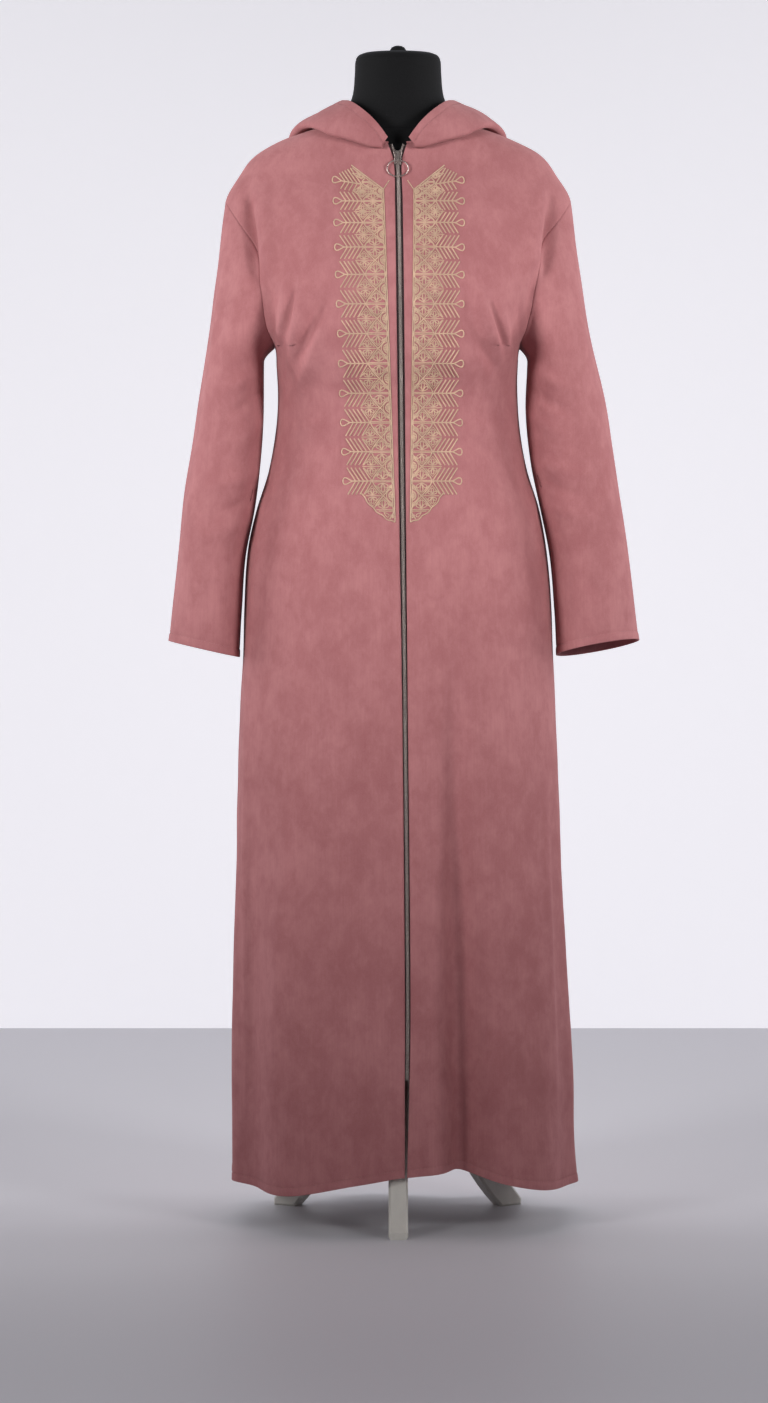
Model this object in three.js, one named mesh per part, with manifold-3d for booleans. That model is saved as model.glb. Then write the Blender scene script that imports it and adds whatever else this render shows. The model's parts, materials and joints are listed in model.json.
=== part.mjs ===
// A jebba: a long hooded robe of brushed suede cloth with a full-length front zip, worn by a limbless
// dress form on a three-legged stand. Millimetres, +Z up, the front faces -Y, +X is the wearer's left.
// Every cloth piece is a thin closed wall over a grid of points; the grids come from section tables.
import * as THREE from "three";
import { mergeVertices } from "three/addons/utils/BufferGeometryUtils.js";
import Module from "manifold-3d";

const wasm = await Module();
wasm.setup();

// ---------------------------------------------------------------- driving dimensions
const CLOTH = 1.8; // wall of the suede cloth
const SEAM = 0.3; // gap that parts two pieces along a seam
const UNDERARM = 1188; // height of the armhole's lowest point
const SHOULDER_TIP = 1383; // height of the armhole's highest point
const NECK_SIDE = 1489; // height where the shoulder seam meets the neckline
const NECK_FRONT = 1458; // height of the neckline at the zip
const NECK_BACK = 1476; // height of the neckline at the centre back
const ARMHOLE_DIP = { front: 33, back: 30 }; // degrees that the armhole cuts into each panel
const ZIP = { foot: 208, head: 1427, tapeWidth: 12, tape: 0.8, coilWidth: 4.8, coil: 2.2 };
const SLIDER = { width: 11, length: 20, thick: 4.2, bail: 6, bailWidth: 3.2, wire: 1.6 };
const RING = { across: 14.2, along: 11.4, wire: 1.7 };
const EMBROIDERY = { foot: 952, head: 1394, width: 61, thick: 1 };
const LEAF = { count: 12, foot: 986, pitch: 39, loop: 8 }; // the motif repeated up the embroidery
const POLE = { radius: 13, hubRadius: 24, hubFoot: 118, hubHead: 205 };
const LEG = { thick: 26, reach: 192.8, foot: 35, bevel: 3 };
const BOX_CENTRE = { x: 8, y: -2 }; // the pole stands this far from the middle of the whole part's box

// Rows of the panel grids, from the hem upwards.
const ROWS = { skirt: 15, armhole: 10, yoke: 5 };
const UNDERARM_ROW = ROWS.skirt;
const TIP_ROW = UNDERARM_ROW + ROWS.armhole;
const TOP_ROW = TIP_ROW + ROWS.yoke;
const FRONT_COLUMNS = 14;
const BACK_COLUMNS = 24;

// ---------------------------------------------------------------- section tables
// The robe's body, one row a height: a rounded oval, wider than deep, whose middle drifts sideways.
const BODY = [
  { height: 20, halfWidth: 238, shift: 10, front: 170, back: 178, roundness: 2.3 },
  { height: 95, halfWidth: 233.5, shift: 7, front: 166, back: 173, roundness: 2.3 },
  { height: 231, halfWidth: 232, shift: 5, front: 162, back: 167, roundness: 2.3 },
  { height: 367, halfWidth: 227, shift: 2, front: 158, back: 161, roundness: 2.3 },
  { height: 503, halfWidth: 221.5, shift: 1, front: 155, back: 155, roundness: 2.3 },
  { height: 640, halfWidth: 217.5, shift: 0, front: 151, back: 149, roundness: 2.3 },
  { height: 748, halfWidth: 211.5, shift: 0, front: 147, back: 143, roundness: 2.28 },
  { height: 833, halfWidth: 208, shift: 0, front: 142, back: 137, roundness: 2.25 },
  { height: 912, halfWidth: 202, shift: -1, front: 136, back: 131, roundness: 2.22 },
  { height: 966, halfWidth: 191.5, shift: 0, front: 131, back: 123, roundness: 2.2 },
  { height: 1020, halfWidth: 175, shift: 0, front: 127, back: 108, roundness: 2.2 },
  { height: 1075, halfWidth: 165, shift: 0, front: 126, back: 96, roundness: 2.2 },
  { height: 1123, halfWidth: 161.5, shift: -0.5, front: 132, back: 91, roundness: 2.3 },
  { height: 1160, halfWidth: 162.5, shift: -1, front: 146, back: 94, roundness: 2.55 },
  { height: 1188, halfWidth: 166, shift: -1, front: 150, back: 97, roundness: 2.75 },
  { height: 1212, halfWidth: 185, shift: -1, front: 152, back: 101, roundness: 2.5 },
  { height: 1245, halfWidth: 206, shift: 0, front: 151, back: 105, roundness: 2.25 },
  { height: 1285, halfWidth: 221, shift: 0, front: 141, back: 108, roundness: 2.15 },
  { height: 1335, halfWidth: 230, shift: 0, front: 118, back: 109, roundness: 2.1 },
  { height: 1383, halfWidth: 233, shift: 0, front: 93, back: 104, roundness: 2.1 },
  { height: 1417, halfWidth: 214.5, shift: 0, front: 76.5, back: 98, roundness: 2.1 },
  { height: 1445, halfWidth: 193, shift: 0, front: 67, back: 90, roundness: 2.1 },
  { height: 1466, halfWidth: 154.5, shift: 0, front: 61, back: 80, roundness: 2.1 },
  { height: 1477, halfWidth: 124.5, shift: 0, front: 56, back: 74, roundness: 2.1 },
  { height: 1485, halfWidth: 98, shift: 0, front: 54, back: 70, roundness: 2.1 },
  { height: 1490, halfWidth: 84, shift: 0, front: 53, back: 67, roundness: 2.1 },
];
// Folds of the skirt: where they lie (0 front, 90 wearer's left, 180 back), how wide, how far out
// (+) or in (-) they stand at the hem, and the height where they fade out.
const FOLDS = [
  { angle: -74, spread: 6, depth: 6, top: 900 },
  { angle: -84, spread: 5, depth: -9, top: 900 },
  { angle: -58, spread: 9, depth: -7, top: 700 },
  { angle: -36, spread: 13, depth: 17, top: 820 },
  { angle: 2, spread: 9, depth: -11, top: 560 },
  { angle: 11, spread: 5, depth: 8, top: 860 },
  { angle: 19, spread: 8, depth: -50, top: 900 },
  { angle: 47, spread: 13, depth: 14, top: 760 },
  { angle: 76, spread: 6, depth: 6, top: 900 },
  { angle: 85, spread: 5, depth: -9, top: 900 },
  { angle: 108, spread: 10, depth: 10, top: 800 },
  { angle: 128, spread: 9, depth: -22, top: 980 },
  { angle: 149, spread: 10, depth: 15, top: 860 },
  { angle: 168, spread: 8, depth: -20, top: 1000 },
  { angle: 188, spread: 10, depth: 14, top: 900 },
  { angle: 209, spread: 8, depth: -26, top: 1010 },
  { angle: 231, spread: 11, depth: 13, top: 840 },
  { angle: 250, spread: 7, depth: -12, top: 780 },
];
// Height of the hem round the robe.
const HEM = [
  { angle: -90, height: 60 },
  { angle: -62, height: 56 },
  { angle: -36, height: 52 },
  { angle: -12, height: 68 },
  { angle: 4, height: 79 },
  { angle: 18, height: 82 },
  { angle: 32, height: 66 },
  { angle: 48, height: 56 },
  { angle: 72, height: 55 },
  { angle: 90, height: 60 },
  { angle: 130, height: 64 },
  { angle: 180, height: 58 },
  { angle: 230, height: 64 },
  { angle: 270, height: 60 },
];
// The zip's line: how far it wanders from the middle, and half the gap between the front edges.
const ZIP_LINE = [
  { height: 40, x: 10, gap: 1.2 },
  { height: 120, x: 11, gap: 2.2 },
  { height: 200, x: 12, gap: 3.3 },
  { height: 312, x: 12.8, gap: 3.8 },
  { height: 711, x: 8.8, gap: 3.8 },
  { height: 981, x: 5.5, gap: 4.6 },
  { height: 1240, x: 2.5, gap: 5.2 },
  { height: 1380, x: 0.8, gap: 5.2 },
  { height: 1434, x: -0.6, gap: 5.6 },
  { height: 1456, x: -1, gap: 12.5 },
];
// Sleeve sections below the armhole, as distances from the middle. lift raises the outer side over
// the inner one, and pitch the front over the back.
const SLEEVE = {
  left: [
    { height: 1166, outer: 266, inner: 176, middle: -8, halfDepth: 76, lift: 0, pitch: 0 },
    { height: 1102, outer: 280, inner: 174, middle: -10, halfDepth: 66, lift: 4, pitch: 2 },
    { height: 1040, outer: 289, inner: 180, middle: -12, halfDepth: 60, lift: 7, pitch: 4 },
    { height: 980, outer: 298, inner: 193, middle: -14, halfDepth: 57, lift: 9, pitch: 6 },
    { height: 912, outer: 308.5, inner: 207, middle: -15, halfDepth: 55, lift: 10, pitch: 7 },
    { height: 846, outer: 318, inner: 213, middle: -16, halfDepth: 54, lift: 10, pitch: 8 },
    { height: 780, outer: 327, inner: 216, middle: -16, halfDepth: 54, lift: 10, pitch: 8 },
  ],
  right: [
    { height: 1166, outer: 260, inner: 183, middle: -8, halfDepth: 78, lift: 0, pitch: 0 },
    { height: 1102, outer: 269, inner: 183, middle: -10, halfDepth: 72, lift: 4, pitch: 1 },
    { height: 1040, outer: 278, inner: 187, middle: -12, halfDepth: 67, lift: 7, pitch: 2 },
    { height: 980, outer: 287, inner: 194.5, middle: -14, halfDepth: 64, lift: 9, pitch: 2 },
    { height: 912, outer: 295, inner: 208, middle: -15, halfDepth: 62, lift: 10, pitch: 2 },
    { height: 846, outer: 302, inner: 213, middle: -16, halfDepth: 61, lift: 11, pitch: 2 },
    { height: 778, outer: 311, inner: 216, middle: -16, halfDepth: 61, lift: 11, pitch: 2 },
  ],
};
// The hood, thrown back, in stations from the zip (0) over the shoulder (90) to the centre back (180).
// turn and height: where its bag folds up, as an angle round the body and a height; rim: its open
// edge; belly: how far the outer layer bows out; puff: how thickly the cloth rolls over.
const HOOD = [
  { at: 0, turn: 5.6, height: 1452, rimX: 14, rimY: -77, rimZ: 1465, belly: 1.5, puff: 0.75 },
  { at: 11, turn: 10, height: 1453, rimX: 29, rimY: -75, rimZ: 1485, belly: 3, puff: 0.8 },
  { at: 22.5, turn: 18, height: 1459, rimX: 44, rimY: -66, rimZ: 1500, belly: 5, puff: 0.9 },
  { at: 45, turn: 33, height: 1467, rimX: 62, rimY: -44, rimZ: 1514, belly: 7, puff: 1 },
  { at: 67.5, turn: 50, height: 1474, rimX: 72, rimY: -20, rimZ: 1518, belly: 7, puff: 1 },
  { at: 90, turn: 78, height: 1478, rimX: 78, rimY: 4, rimZ: 1519, belly: 6, puff: 1 },
  { at: 100, turn: 103, height: 1473, rimX: 83, rimY: 22, rimZ: 1518, belly: 6, puff: 1.1 },
  { at: 110, turn: 120, height: 1463, rimX: 85, rimY: 42, rimZ: 1515, belly: 8, puff: 1.2 },
  { at: 120, turn: 133, height: 1445, rimX: 84, rimY: 62, rimZ: 1510, belly: 11, puff: 1.3 },
  { at: 130, turn: 143, height: 1419, rimX: 79, rimY: 80, rimZ: 1505, belly: 15, puff: 1.4 },
  { at: 140, turn: 151, height: 1383, rimX: 69, rimY: 95, rimZ: 1499, belly: 19, puff: 1.5 },
  { at: 150, turn: 158, height: 1338, rimX: 54, rimY: 107, rimZ: 1493, belly: 23, puff: 1.5 },
  { at: 160, turn: 165, height: 1293, rimX: 37, rimY: 116, rimZ: 1489, belly: 27, puff: 1.5 },
  { at: 170, turn: 172.6, height: 1257, rimX: 19, rimY: 121, rimZ: 1486, belly: 29, puff: 1.5 },
  { at: 180, turn: 180, height: 1240, rimX: 0, rimY: 123, rimZ: 1485, belly: 30, puff: 1.5 },
];
const HOOD_STATIONS = FRONT_COLUMNS + BACK_COLUMNS / 2;
const HOOD_STEPS = 14;
// The dress form's torso and neck.
const FORM = [
  { height: 792, halfWidth: 168, front: 112, back: 108, middle: 0, roundness: 2.15 },
  { height: 880, halfWidth: 178, front: 118, back: 116, middle: 0, roundness: 2.15 },
  { height: 960, halfWidth: 172, front: 114, back: 112, middle: 0, roundness: 2.15 },
  { height: 1040, halfWidth: 146, front: 104, back: 92, middle: 0, roundness: 2.1 },
  { height: 1095, halfWidth: 134, front: 100, back: 82, middle: 0, roundness: 2.1 },
  { height: 1150, halfWidth: 142, front: 118, back: 84, middle: 0, roundness: 2.2 },
  { height: 1215, halfWidth: 156, front: 138, back: 92, middle: 0, roundness: 2.3 },
  { height: 1260, halfWidth: 166, front: 134, back: 99, middle: 0, roundness: 2.25 },
  { height: 1320, halfWidth: 178, front: 116, back: 102, middle: 0, roundness: 2.15 },
  { height: 1375, halfWidth: 186, front: 89, back: 98, middle: 0, roundness: 2.1 },
  { height: 1410, halfWidth: 189, front: 74, back: 93, middle: 0, roundness: 2.1 },
  { height: 1434, halfWidth: 182, front: 64, back: 87.5, middle: 0, roundness: 2.1 },
  { height: 1450, halfWidth: 176.5, front: 57.5, back: 82.5, middle: 0, roundness: 2.1 },
  { height: 1466, halfWidth: 149, front: 53.5, back: 75, middle: 0, roundness: 2.1 },
  { height: 1477, halfWidth: 118, front: 49.5, back: 70, middle: 0, roundness: 2.1 },
  { height: 1486, halfWidth: 83, front: 46.5, back: 62, middle: 0, roundness: 2.05 },
  { height: 1497, halfWidth: 73.5, front: 48, back: 60, middle: 1, roundness: 2 },
  { height: 1512, halfWidth: 67, front: 52, back: 60, middle: 3, roundness: 2 },
  { height: 1530, halfWidth: 61, front: 52, back: 58, middle: 4, roundness: 2 },
  { height: 1558, halfWidth: 58.5, front: 53, back: 55, middle: 5, roundness: 2 },
  { height: 1574, halfWidth: 57.5, front: 53, back: 54, middle: 5, roundness: 2 },
  { height: 1581, halfWidth: 53.5, front: 49, back: 50, middle: 5, roundness: 2 },
  { height: 1584, halfWidth: 46, front: 42, back: 43, middle: 5, roundness: 2 },
];
const FORM_SIDES = 28;

// ---------------------------------------------------------------- small helpers
const DEG = Math.PI / 180;
const V = (x, y, z) => new THREE.Vector3(x, y, z);
const mix = THREE.MathUtils.lerp;
const ease = THREE.MathUtils.smoothstep;
const power = (value, exponent) => Math.sign(value) * Math.abs(value) ** exponent;

// A smooth curve through one column of a table, against another column.
function column(table, key, against = "height") {
  const at = table.map((row) => row[against]);
  const to = table.map((row) => row[key]);
  const last = table.length - 1;
  const slope = at.map((_, k) => {
    const a = Math.max(0, k - 1);
    const b = Math.min(last, k + 1);
    return (to[b] - to[a]) / (at[b] - at[a]);
  });
  return (value) => {
    const v = THREE.MathUtils.clamp(value, at[0], at[last]);
    let k = 0;
    while (k < last - 1 && v > at[k + 1]) k += 1;
    const span = at[k + 1] - at[k];
    const t = (v - at[k]) / span;
    const rise = (3 - 2 * t) * t * t;
    const bend = t * (1 - t) * span;
    return mix(to[k], to[k + 1], rise) + bend * ((1 - t) * slope[k] - t * slope[k + 1]);
  };
}

const body = Object.fromEntries(
  ["halfWidth", "shift", "front", "back", "roundness"].map((key) => [key, column(BODY, key)]),
);
const hemHeight = column(HEM, "height", "angle");
const zipX = column(ZIP_LINE, "x");
const zipGap = column(ZIP_LINE, "gap");

// How far the skirt's folds push the cloth out at an angle (-90 to 270) and a height.
function foldDepth(angle, height) {
  let out = 0;
  for (const fold of FOLDS) {
    const away = ((((angle - fold.angle + 180) % 360) + 360) % 360) - 180;
    const fall = ease(fold.top - height, 0, fold.top - hemHeight(0));
    out += fold.depth * fall * Math.exp(-((away / fold.spread) ** 2));
  }
  return out;
}

// A point of the robe's body: angle 0 is the centre front, 90 the wearer's left side, 180 the back.
function bodyPoint(angle, height) {
  const [s, c] = [Math.sin(angle * DEG), Math.cos(angle * DEG)];
  const a = body.halfWidth(height);
  const b = c > 0 ? body.front(height) : body.back(height);
  const p = 2 / body.roundness(height);
  const x = a * power(s, p);
  const y = -b * power(c, p);
  const out = V(x / (a * a), y / (b * b), 0).normalize();
  const turned = ((((angle + 90) % 360) + 360) % 360) - 90;
  return V(body.shift(height) + x, y, height).addScaledVector(out, foldDepth(turned, height));
}

function bodyNormal(angle, height) {
  const step = 0.4;
  const along = bodyPoint(angle + step, height).sub(bodyPoint(angle - step, height));
  const up = bodyPoint(angle, height + 1).sub(bodyPoint(angle, height - 1));
  return along.cross(up).normalize();
}

// The angle of the front, seen from the middle, at which the body is x from the centre line.
function frontAngle(x, height) {
  const off = x - body.shift(height);
  const share = Math.min(1, Math.abs(off) / body.halfWidth(height));
  return (Math.sign(off) * Math.asin(share ** (body.roundness(height) / 2))) / DEG;
}

// ---------------------------------------------------------------- panels and their walls
// A panel holds rows of points and their normals. closed joins the last column to the first, and
// sense is -1 where columns and rows turn the other way round.
function panel(rows, sense = 1, closed = false) {
  const made = { points: rows, sense, closed, normals: [] };
  const lastRow = rows.length - 1;
  const columns = rows[0].length;
  made.normals = rows.map((row, j) =>
    row.map((_, i) => {
      const before = closed ? (i + columns - 1) % columns : Math.max(0, i - 1);
      const after = closed ? (i + 1) % columns : Math.min(columns - 1, i + 1);
      const along = row[after].clone().sub(row[before]);
      const up = rows[Math.min(lastRow, j + 1)][i].clone().sub(rows[Math.max(0, j - 1)][i]);
      return along.cross(up).multiplyScalar(sense).normalize();
    }),
  );
  return made;
}

// Joins two panels along a seam: lists of [row, column] that start as the same points. Both get the
// mean normal there, so their edge faces are parallel, and they part by the seam's gap.
function sew(one, oneEdge, two, twoEdge, inward) {
  const seam = oneEdge.map(([j, i]) => one.points[j][i].clone());
  oneEdge.forEach(([j, i], k) => {
    const [m, n] = twoEdge[k];
    const normal = one.normals[j][i].clone().add(two.normals[m][n]).normalize();
    const before = seam[Math.max(0, k - 1)];
    const after = seam[Math.min(seam.length - 1, k + 1)];
    const across = normal.clone().cross(after.clone().sub(before)).normalize();
    const [a, b] = inward(k);
    const towards = two.points[b[0]][b[1]].clone().sub(one.points[a[0]][a[1]]);
    if (across.dot(towards) < 0) across.negate();
    one.normals[j][i] = normal;
    two.normals[m][n] = normal.clone();
    one.points[j][i] = one.points[j][i].clone().addScaledVector(across, -SEAM / 2);
    two.points[m][n] = two.points[m][n].clone().addScaledVector(across, SEAM / 2);
  });
}

// The closed wall over a panel, thick/2 to each side of its points.
function wall(made, thick = CLOTH) {
  const { points, normals, sense, closed } = made;
  const rows = points.length;
  const columns = points[0].length;
  const position = [];
  for (const side of [1, -1]) {
    for (let j = 0; j < rows; j += 1) {
      for (let i = 0; i < columns; i += 1) {
        const at = points[j][i].clone().addScaledVector(normals[j][i], (side * thick) / 2);
        position.push(at.x, at.y, at.z);
      }
    }
  }
  const outer = (j, i) => j * columns + (i % columns);
  const inner = (j, i) => rows * columns + outer(j, i);
  const index = [];
  const quad = (a, b, c, d) => index.push(...(sense > 0 ? [a, b, c, a, c, d] : [a, c, b, a, d, c]));
  const across = closed ? columns : columns - 1;
  for (let j = 0; j < rows - 1; j += 1) {
    for (let i = 0; i < across; i += 1) {
      quad(outer(j, i), outer(j, i + 1), outer(j + 1, i + 1), outer(j + 1, i));
      quad(inner(j, i), inner(j + 1, i), inner(j + 1, i + 1), inner(j, i + 1));
    }
  }
  const edge = (j, i, m, n) => quad(outer(j, i), inner(j, i), inner(m, n), outer(m, n));
  for (let i = 0; i < across; i += 1) {
    edge(0, i, 0, i + 1);
    edge(rows - 1, i + 1, rows - 1, i);
  }
  for (let j = 0; j < rows - 1 && !closed; j += 1) {
    edge(j, columns - 1, j + 1, columns - 1);
    edge(j + 1, 0, j, 0);
  }
  return new THREE.BufferGeometry()
    .setAttribute("position", new THREE.Float32BufferAttribute(position, 3))
    .setIndex(index);
}

// A closed solid through rings of points, from the lowest up, with flat ends.
function loft(rings) {
  const sides = rings[0].length;
  const position = rings.flat().flatMap((p) => [p.x, p.y, p.z]);
  const index = [];
  const at = (k, i) => k * sides + (i % sides);
  for (let k = 0; k < rings.length - 1; k += 1) {
    for (let i = 0; i < sides; i += 1) {
      index.push(at(k, i), at(k, i + 1), at(k + 1, i + 1), at(k, i), at(k + 1, i + 1), at(k + 1, i));
    }
  }
  for (const [k, turn] of [[0, false], [rings.length - 1, true]]) {
    const middle = rings[k].reduce((sum, p) => sum.add(p), V(0, 0, 0)).divideScalar(sides);
    const centre = position.push(middle.x, middle.y, middle.z) / 3 - 1;
    for (let i = 0; i < sides; i += 1) {
      index.push(centre, ...(turn ? [at(k, i), at(k, i + 1)] : [at(k, i + 1), at(k, i)]));
    }
  }
  return new THREE.BufferGeometry()
    .setAttribute("position", new THREE.Float32BufferAttribute(position, 3))
    .setIndex(index);
}

// ---------------------------------------------------------------- front and back panels
// The grid's row j at share s (0 centre, 1 side) of a panel's width, as an angle and a height.
function gridPlace(face, side, j, s) {
  const isFront = face === "front";
  const turn = (theta) => (isFront ? side * theta : 180 - side * theta);
  let end = 90;
  let across = s;
  let height;
  let centre;
  if (j > TIP_ROW) {
    const t = (j - TIP_ROW) / ROWS.yoke;
    centre = mix(SHOULDER_TIP, isFront ? NECK_FRONT : NECK_BACK, t);
    const seam = mix(SHOULDER_TIP, NECK_SIDE, 1 - (1 - t) ** 1.7);
    height = mix(centre, seam, ease(s, 0, 1));
    across = s ** mix(1, isFront ? 1.6 : 1.3, t);
  } else if (j > UNDERARM_ROW) {
    const turned = (Math.PI * (j - UNDERARM_ROW)) / ROWS.armhole;
    height = mix(UNDERARM, SHOULDER_TIP, (1 - Math.cos(turned)) / 2);
    centre = height;
    end = 90 - ARMHOLE_DIP[face] * Math.sin(turned);
  } else {
    const angle = isFront ? side * 90 * s : 180 - side * 90 * s;
    height = mix(hemHeight(angle), UNDERARM, 1 - (1 - j / UNDERARM_ROW) ** 1.25);
    centre = height;
  }
  let start = 0;
  if (isFront) start = Math.abs(frontAngle(zipX(centre) + side * zipGap(centre), centre));
  if (isFront && side * (zipX(centre) + side * zipGap(centre) - body.shift(centre)) < 0) start = -start;
  return { angle: turn(mix(start, end, across)), height };
}

function frontPanel(side) {
  const rows = [];
  for (let j = 0; j <= TOP_ROW; j += 1) {
    const row = [];
    for (let i = 0; i <= FRONT_COLUMNS; i += 1) {
      const { angle, height } = gridPlace("front", side, j, i / FRONT_COLUMNS);
      row.push(bodyPoint(angle, height));
    }
    rows.push(row);
  }
  return panel(rows, side);
}

function backPanel() {
  const rows = [];
  for (let j = 0; j <= TOP_ROW; j += 1) {
    const row = [];
    for (let i = 0; i <= BACK_COLUMNS; i += 1) {
      const share = 1 - (2 * i) / BACK_COLUMNS;
      const { angle, height } = gridPlace("back", Math.sign(share) || 1, j, Math.abs(share));
      row.push(bodyPoint(angle, height));
    }
    rows.push(row);
  }
  return panel(rows);
}

// ---------------------------------------------------------------- sleeves
const LOOP = 2 * ROWS.armhole; // points round the armhole, from the shoulder tip over the front
const LOFT_ROWS = 4;
const SLEEVE_ROWS = 9;

function armholePoint(front, back, side, k) {
  const down = k <= ROWS.armhole;
  const row = down ? TIP_ROW - k : UNDERARM_ROW + (k - ROWS.armhole);
  const source = down ? front : back;
  const lastBack = side > 0 ? 0 : BACK_COLUMNS;
  return { source, place: [row, down ? FRONT_COLUMNS : lastBack] };
}

function sleevePanel(name, side, front, back) {
  const table = SLEEVE[name].slice().reverse();
  const section = Object.fromEntries(
    ["outer", "inner", "middle", "halfDepth", "lift", "pitch"].map((key) => [key, column(table, key)]),
  );
  const [cuff, top] = [table[0].height, table[table.length - 1].height];
  const ring = (height) =>
    Array.from({ length: LOOP }, (_, k) => {
      const [s, c] = [Math.sin((k / LOOP) * 2 * Math.PI), Math.cos((k / LOOP) * 2 * Math.PI)];
      const middle = (section.outer(height) + section.inner(height)) / 2;
      const half = (section.outer(height) - section.inner(height)) / 2;
      const rise = section.lift(height) * c + section.pitch(height) * s;
      return V(side * (middle + half * c), section.middle(height) - section.halfDepth(height) * s, height + rise);
    });
  const loop = Array.from({ length: LOOP }, (_, k) => {
    const { source, place } = armholePoint(front, back, side, k);
    return source.points[place[0]][place[1]].clone();
  });
  const first = ring(top);
  const rows = [];
  for (let j = 0; j < LOFT_ROWS; j += 1) {
    rows.push(loop.map((p, k) => p.clone().lerp(first[k], j / LOFT_ROWS)));
  }
  for (let j = 0; j <= SLEEVE_ROWS; j += 1) rows.push(ring(mix(top, cuff, j / SLEEVE_ROWS)));
  return panel(rows, side, true);
}

// ---------------------------------------------------------------- hood
const hood = Object.fromEntries(
  ["turn", "height", "rimX", "rimY", "rimZ", "belly", "puff"].map((key) => [key, column(HOOD, key, "at")]),
);

// Where station k of a hood half meets the neckline: which panel's column, and the way round.
function station(side, k) {
  const onFront = k <= FRONT_COLUMNS;
  const m = k - FRONT_COLUMNS;
  const half = BACK_COLUMNS / 2;
  const share = onFront ? k / FRONT_COLUMNS : 1 - m / half;
  const place = gridPlace(onFront ? "front" : "back", side, TOP_ROW, share);
  return {
    column: onFront ? k : side > 0 ? m : BACK_COLUMNS - m,
    at: onFront ? 90 * share : 180 - 90 * share,
    height: place.height,
    angle: place.angle > 180 ? place.angle - 360 : place.angle,
  };
}

// The body's outside at a share of the way from the neckline to the hood's fold, lifted off the cloth.
function besideNeck(side, stop, share, lift) {
  const start = side < 0 && stop.angle > 90 ? stop.angle - 360 : stop.angle;
  const angle = mix(start, side * hood.turn(stop.at), share);
  const height = mix(stop.height, hood.height(stop.at), share);
  return bodyPoint(angle, height).addScaledVector(bodyNormal(angle, height), lift);
}

// One section of the hood: up from the neckline, over and down to the fold, and up to the rim.
function hoodSection(side, k) {
  const stop = station(side, k);
  const { at } = stop;
  const neck = bodyPoint(stop.angle, stop.height);
  const rim = V(side * hood.rimX(at), hood.rimY(at), hood.rimZ(at));
  const length = neck.distanceTo(besideNeck(side, stop, 1, 0));
  const puff = hood.puff(at);
  const over = 5.5 * puff;
  // [distance from the neckline, lift off the body] of the rolled neck, the inner layer and the fold.
  const inner = [
    [-0.5, 4 * puff], [1, 7.2 * puff], [over, 7.4 * puff],
    [mix(over, length, 0.33), 5.6 * puff], [mix(over, length, 0.67), 5 * puff], [length, 5 * puff],
    [length + 3.5 * puff, 6.5 * puff], [length + 4.5 * puff, 9.5 * puff], [length + 2.5 * puff, 12.5 * puff],
  ].map(([along, lift]) => besideNeck(side, stop, along / length, lift));
  const bend = inner[inner.length - 1];
  const away = V(bend.x, bend.y - 10, 0).normalize();
  const belly = bend.clone().lerp(rim, 0.45).addScaledVector(away, hood.belly(at));
  const crest = belly.clone().lerp(rim, 0.62).addScaledVector(away, hood.belly(at) * 0.3);
  const outer = new THREE.CatmullRomCurve3([bend, belly, crest, rim], false, "centripetal");
  const rest = HOOD_STEPS - inner.length;
  return [neck, ...inner, ...Array.from({ length: rest }, (_, n) => outer.getPoint((n + 1) / rest))];
}

function hoodPanel(side) {
  const sections = Array.from({ length: HOOD_STATIONS + 1 }, (_, k) => hoodSection(side, k));
  return panel(Array.from({ length: HOOD_STEPS + 1 }, (_, n) => sections.map((s) => s[n])), side);
}

// ---------------------------------------------------------------- solids as three.js geometry
function solidOf(geometry) {
  const bare = new THREE.BufferGeometry().setAttribute("position", geometry.getAttribute("position"));
  if (geometry.index) bare.setIndex(geometry.index);
  const merged = mergeVertices(bare, 1e-4);
  return new wasm.Manifold(
    new wasm.Mesh({
      numProp: 3,
      vertProperties: merged.attributes.position.array,
      triVerts: new Uint32Array(merged.index.array),
    }),
  );
}

function geometryOf(solid) {
  const mesh = solid.getMesh();
  return new THREE.BufferGeometry()
    .setAttribute("position", new THREE.Float32BufferAttribute(Array.from(mesh.vertProperties), 3))
    .setIndex(Array.from(mesh.triVerts));
}

// ---------------------------------------------------------------- what lies on the front panels
// A point of a panel between its rows and columns, lifted along its normal.
function spot(made, j, c, lift) {
  const { points, normals } = made;
  const j0 = Math.min(Math.floor(j), points.length - 2);
  const c0 = Math.max(0, Math.min(Math.floor(c), points[0].length - 2));
  const blend = (grid) => {
    const low = grid[j0][c0].clone().lerp(grid[j0][c0 + 1], c - c0);
    return low.lerp(grid[j0 + 1][c0].clone().lerp(grid[j0 + 1][c0 + 1], c - c0), j - j0);
  };
  return { point: blend(points).addScaledVector(blend(normals).normalize(), lift), normal: blend(normals) };
}

// The row, with its fraction, at which a front panel's zip edge reaches a height.
function rowAt(made, height) {
  let j = 0;
  while (j < TOP_ROW - 1 && made.points[j + 1][0].z < height) j += 1;
  const [low, high] = [made.points[j][0].z, made.points[j + 1][0].z];
  return j + (height - low) / (high - low);
}

// The rows of a strip: its foot, every panel row between, and its head.
function stripRows(made, foot, head) {
  const [from, to] = [rowAt(made, foot), rowAt(made, head)];
  const whole = Array.from({ length: TOP_ROW + 1 }, (_, j) => j).filter((j) => j > from + 0.2 && j < to - 0.2);
  return [from, ...whole, to];
}

// The point beside the zip at a row and at x, on the line through the panel's first two columns.
function besideZip(made, j, x, lift) {
  const first = spot(made, j, 0, 0).point.x;
  const second = spot(made, j, 1, 0).point.x;
  return spot(made, j, (x - first) / (second - first), lift);
}

const TAPE_FACE = -(CLOTH / 2 + SEAM); // lift of the tapes' outer face
const COIL_FACE = TAPE_FACE + SEAM + ZIP.coil;

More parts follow.
